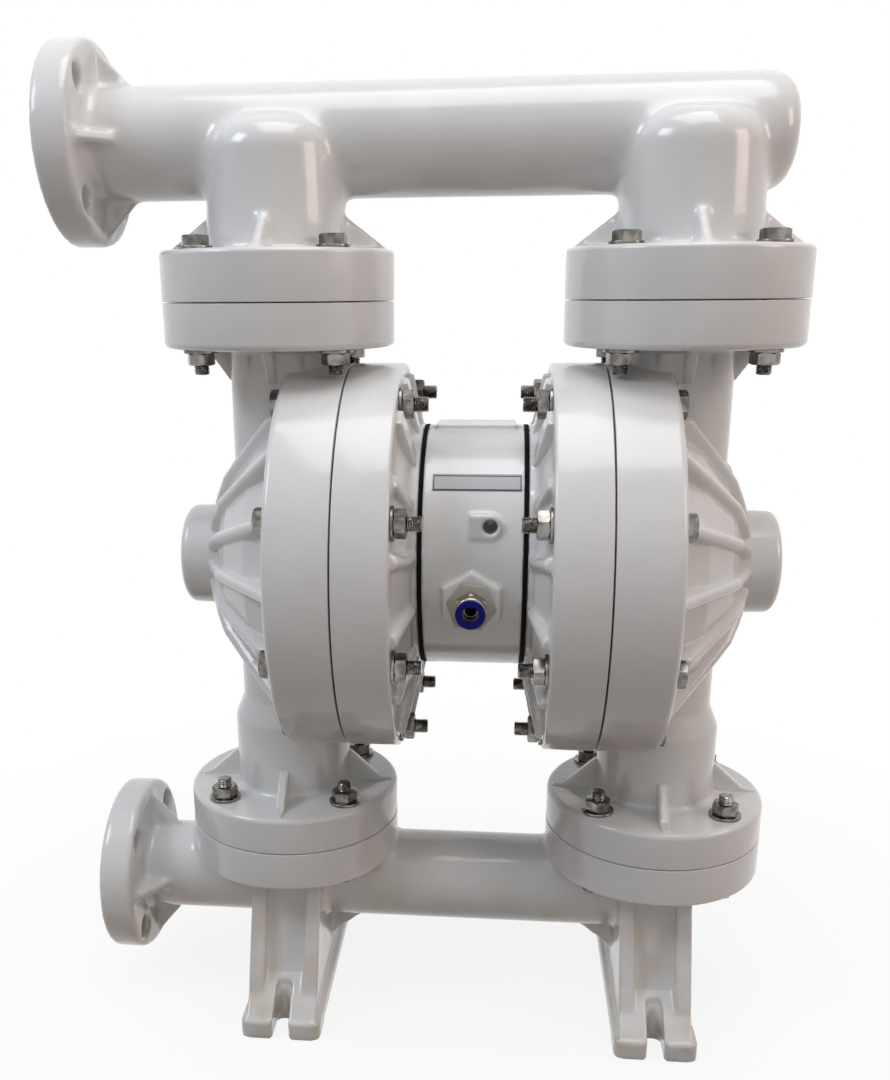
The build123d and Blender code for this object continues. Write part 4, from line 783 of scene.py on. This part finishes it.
def rays_that_see(owner):
    """1 for camera, glossy and transmission rays, which see white, and 0 for rays that light."""
    path = add_node(owner, "ShaderNodeLightPath")
    either = add_node(owner, "ShaderNodeMath", [(0, path.outputs["Is Camera Ray"]),
                                                (1, path.outputs["Is Glossy Ray"])],
                      operation="MAXIMUM")
    return add_node(owner, "ShaderNodeMath", [(0, either.outputs[0]),
                                              (1, path.outputs["Is Transmission Ray"])],
                    operation="MAXIMUM").outputs[0]


def studio_ground():
    """Ground that lights the undersides as a warm grey floor does, and that the camera and
    reflections see as white: part lit matt surface near the pump, so that its shadow stays,
    and all white of strength 1 from 0.75 m out."""
    material, shader = new_finish("studio_ground")
    surface_inputs(shader, Base_Color=linear("#F6F6F6"), Roughness=1.0, Specular_IOR_Level=0.0)
    place = add_node(material, "ShaderNodeTexCoord").outputs["Object"]
    away = add_node(material, "ShaderNodeVectorMath", [(0, place)], operation="LENGTH")
    share = add_node(material, "ShaderNodeMapRange", [("Value", away.outputs["Value"])],
                     From_Min=0.2, From_Max=0.75, To_Min=0.86, To_Max=1.0)
    white = add_node(material, "ShaderNodeEmission", Color=(1, 1, 1, 1), Strength=1.0)
    seen = add_node(material, "ShaderNodeMixShader",
                    [(0, share.outputs[0]), (1, shader.outputs[0]), (2, white.outputs[0])])
    warm = add_node(material, "ShaderNodeBsdfDiffuse", Color=linear("#8A7D73"))
    pick = add_node(material, "ShaderNodeMixShader", [(0, rays_that_see(material)),
                                                      (1, warm.outputs[0]), (2, seen.outputs[0])])
    surface = material.node_tree.nodes["Material Output"].inputs["Surface"]
    material.node_tree.links.new(pick.outputs[0], surface)
    return material


GROUND_HALF = 6.0  # metres
corners = [(-1, -1), (1, -1), (1, 1), (-1, 1)]
ground_mesh = bpy.data.meshes.new("ground")
ground_mesh.from_pydata([(x * GROUND_HALF, y * GROUND_HALF, 0) for x, y in corners], [],
                        [(0, 1, 2, 3)])
ground = bpy.data.objects.new("ground", ground_mesh)
bpy.context.scene.collection.objects.link(ground)
ground_mesh.materials.append(studio_ground())

world = bpy.data.worlds.new("studio")
bpy.context.scene.world = world
world.use_nodes = True
world.node_tree.nodes.clear()
seen = add_node(world, "ShaderNodeBackground", Color=(1, 1, 1, 1))
soft = add_node(world, "ShaderNodeBackground", Color=linear("#E7E9EB"), Strength=0.4)
sky = add_node(world, "ShaderNodeMixShader",
               [(0, rays_that_see(world)), (1, soft.outputs[0]), (2, seen.outputs[0])])
add_node(world, "ShaderNodeOutputWorld", [("Surface", sky.outputs[0])])


def place_square(thing, across, up, back, spot):
    """Set an object's axes and its place, all in metres."""
    axes = np.column_stack([across, up, back, spot])
    thing.matrix_world = Matrix(np.vstack([axes, [0, 0, 0, 1]]).tolist())


def add_lamp(name, place, aim, size, power, colour):
    """Square soft box at place, facing aim."""
    lamp = bpy.data.lights.new(name, "AREA")
    lamp.shape, lamp.size, lamp.energy = "SQUARE", size, power
    lamp.color = linear(colour)[:3]
    box = bpy.data.objects.new(name, lamp)
    bpy.context.scene.collection.objects.link(box)
    away = np.subtract(place, aim)
    back, across, up = frame_axes(away, np.cross(Z, away))
    place_square(box, across, up, back, place)


add_lamp("window_left", (-1.7, -0.9, 2.0), (0, 0, 0.45), 0.8, 17, "#E6EEFF")
add_lamp("room_right", (1.9, -0.6, 1.3), (0, 0, 0.4), 0.8, 10, "#FFE4D6")
add_lamp("ceiling", (0.1, -0.35, 2.5), (0, 0, 0.4), 1.4, 20, "#FDFDFF")

# the camera, from its focal length and optical centre in pixels of an 890 x 1080 frame
FRAME_W, FRAME_H = 890.0, 1080.0
FOCAL_PX, CENTRE_X_PX, CENTRE_Y_PX = 1104.24, 391.90, 623.42
SENSOR = 36.0
CAMERA_AT = (0.019, -0.8981, 0.6114)  # metres
yaw, dip, roll = -0.0985, 0.2913, -0.0072  # radians
camera_data = bpy.data.cameras.new("camera")
camera_data.sensor_width = SENSOR
camera_data.lens = FOCAL_PX * SENSOR / FRAME_H
camera_data.shift_x = (FRAME_W / 2 - CENTRE_X_PX) / FRAME_H
camera_data.shift_y = (CENTRE_Y_PX - FRAME_H / 2) / FRAME_H
camera_data.clip_end = 30
camera = bpy.data.objects.new("camera", camera_data)
bpy.context.scene.collection.objects.link(camera)
ahead = np.array([math.sin(yaw) * math.cos(dip), math.cos(yaw) * math.cos(dip), -math.sin(dip)])
level = np.array([math.cos(yaw), -math.sin(yaw), 0])
above = np.cross(level, ahead)
place_square(camera, math.cos(roll) * level + math.sin(roll) * above,
             -math.sin(roll) * level + math.cos(roll) * above, -ahead, CAMERA_AT)
bpy.context.scene.camera = camera
bpy.context.scene.view_settings.view_transform = "Standard"
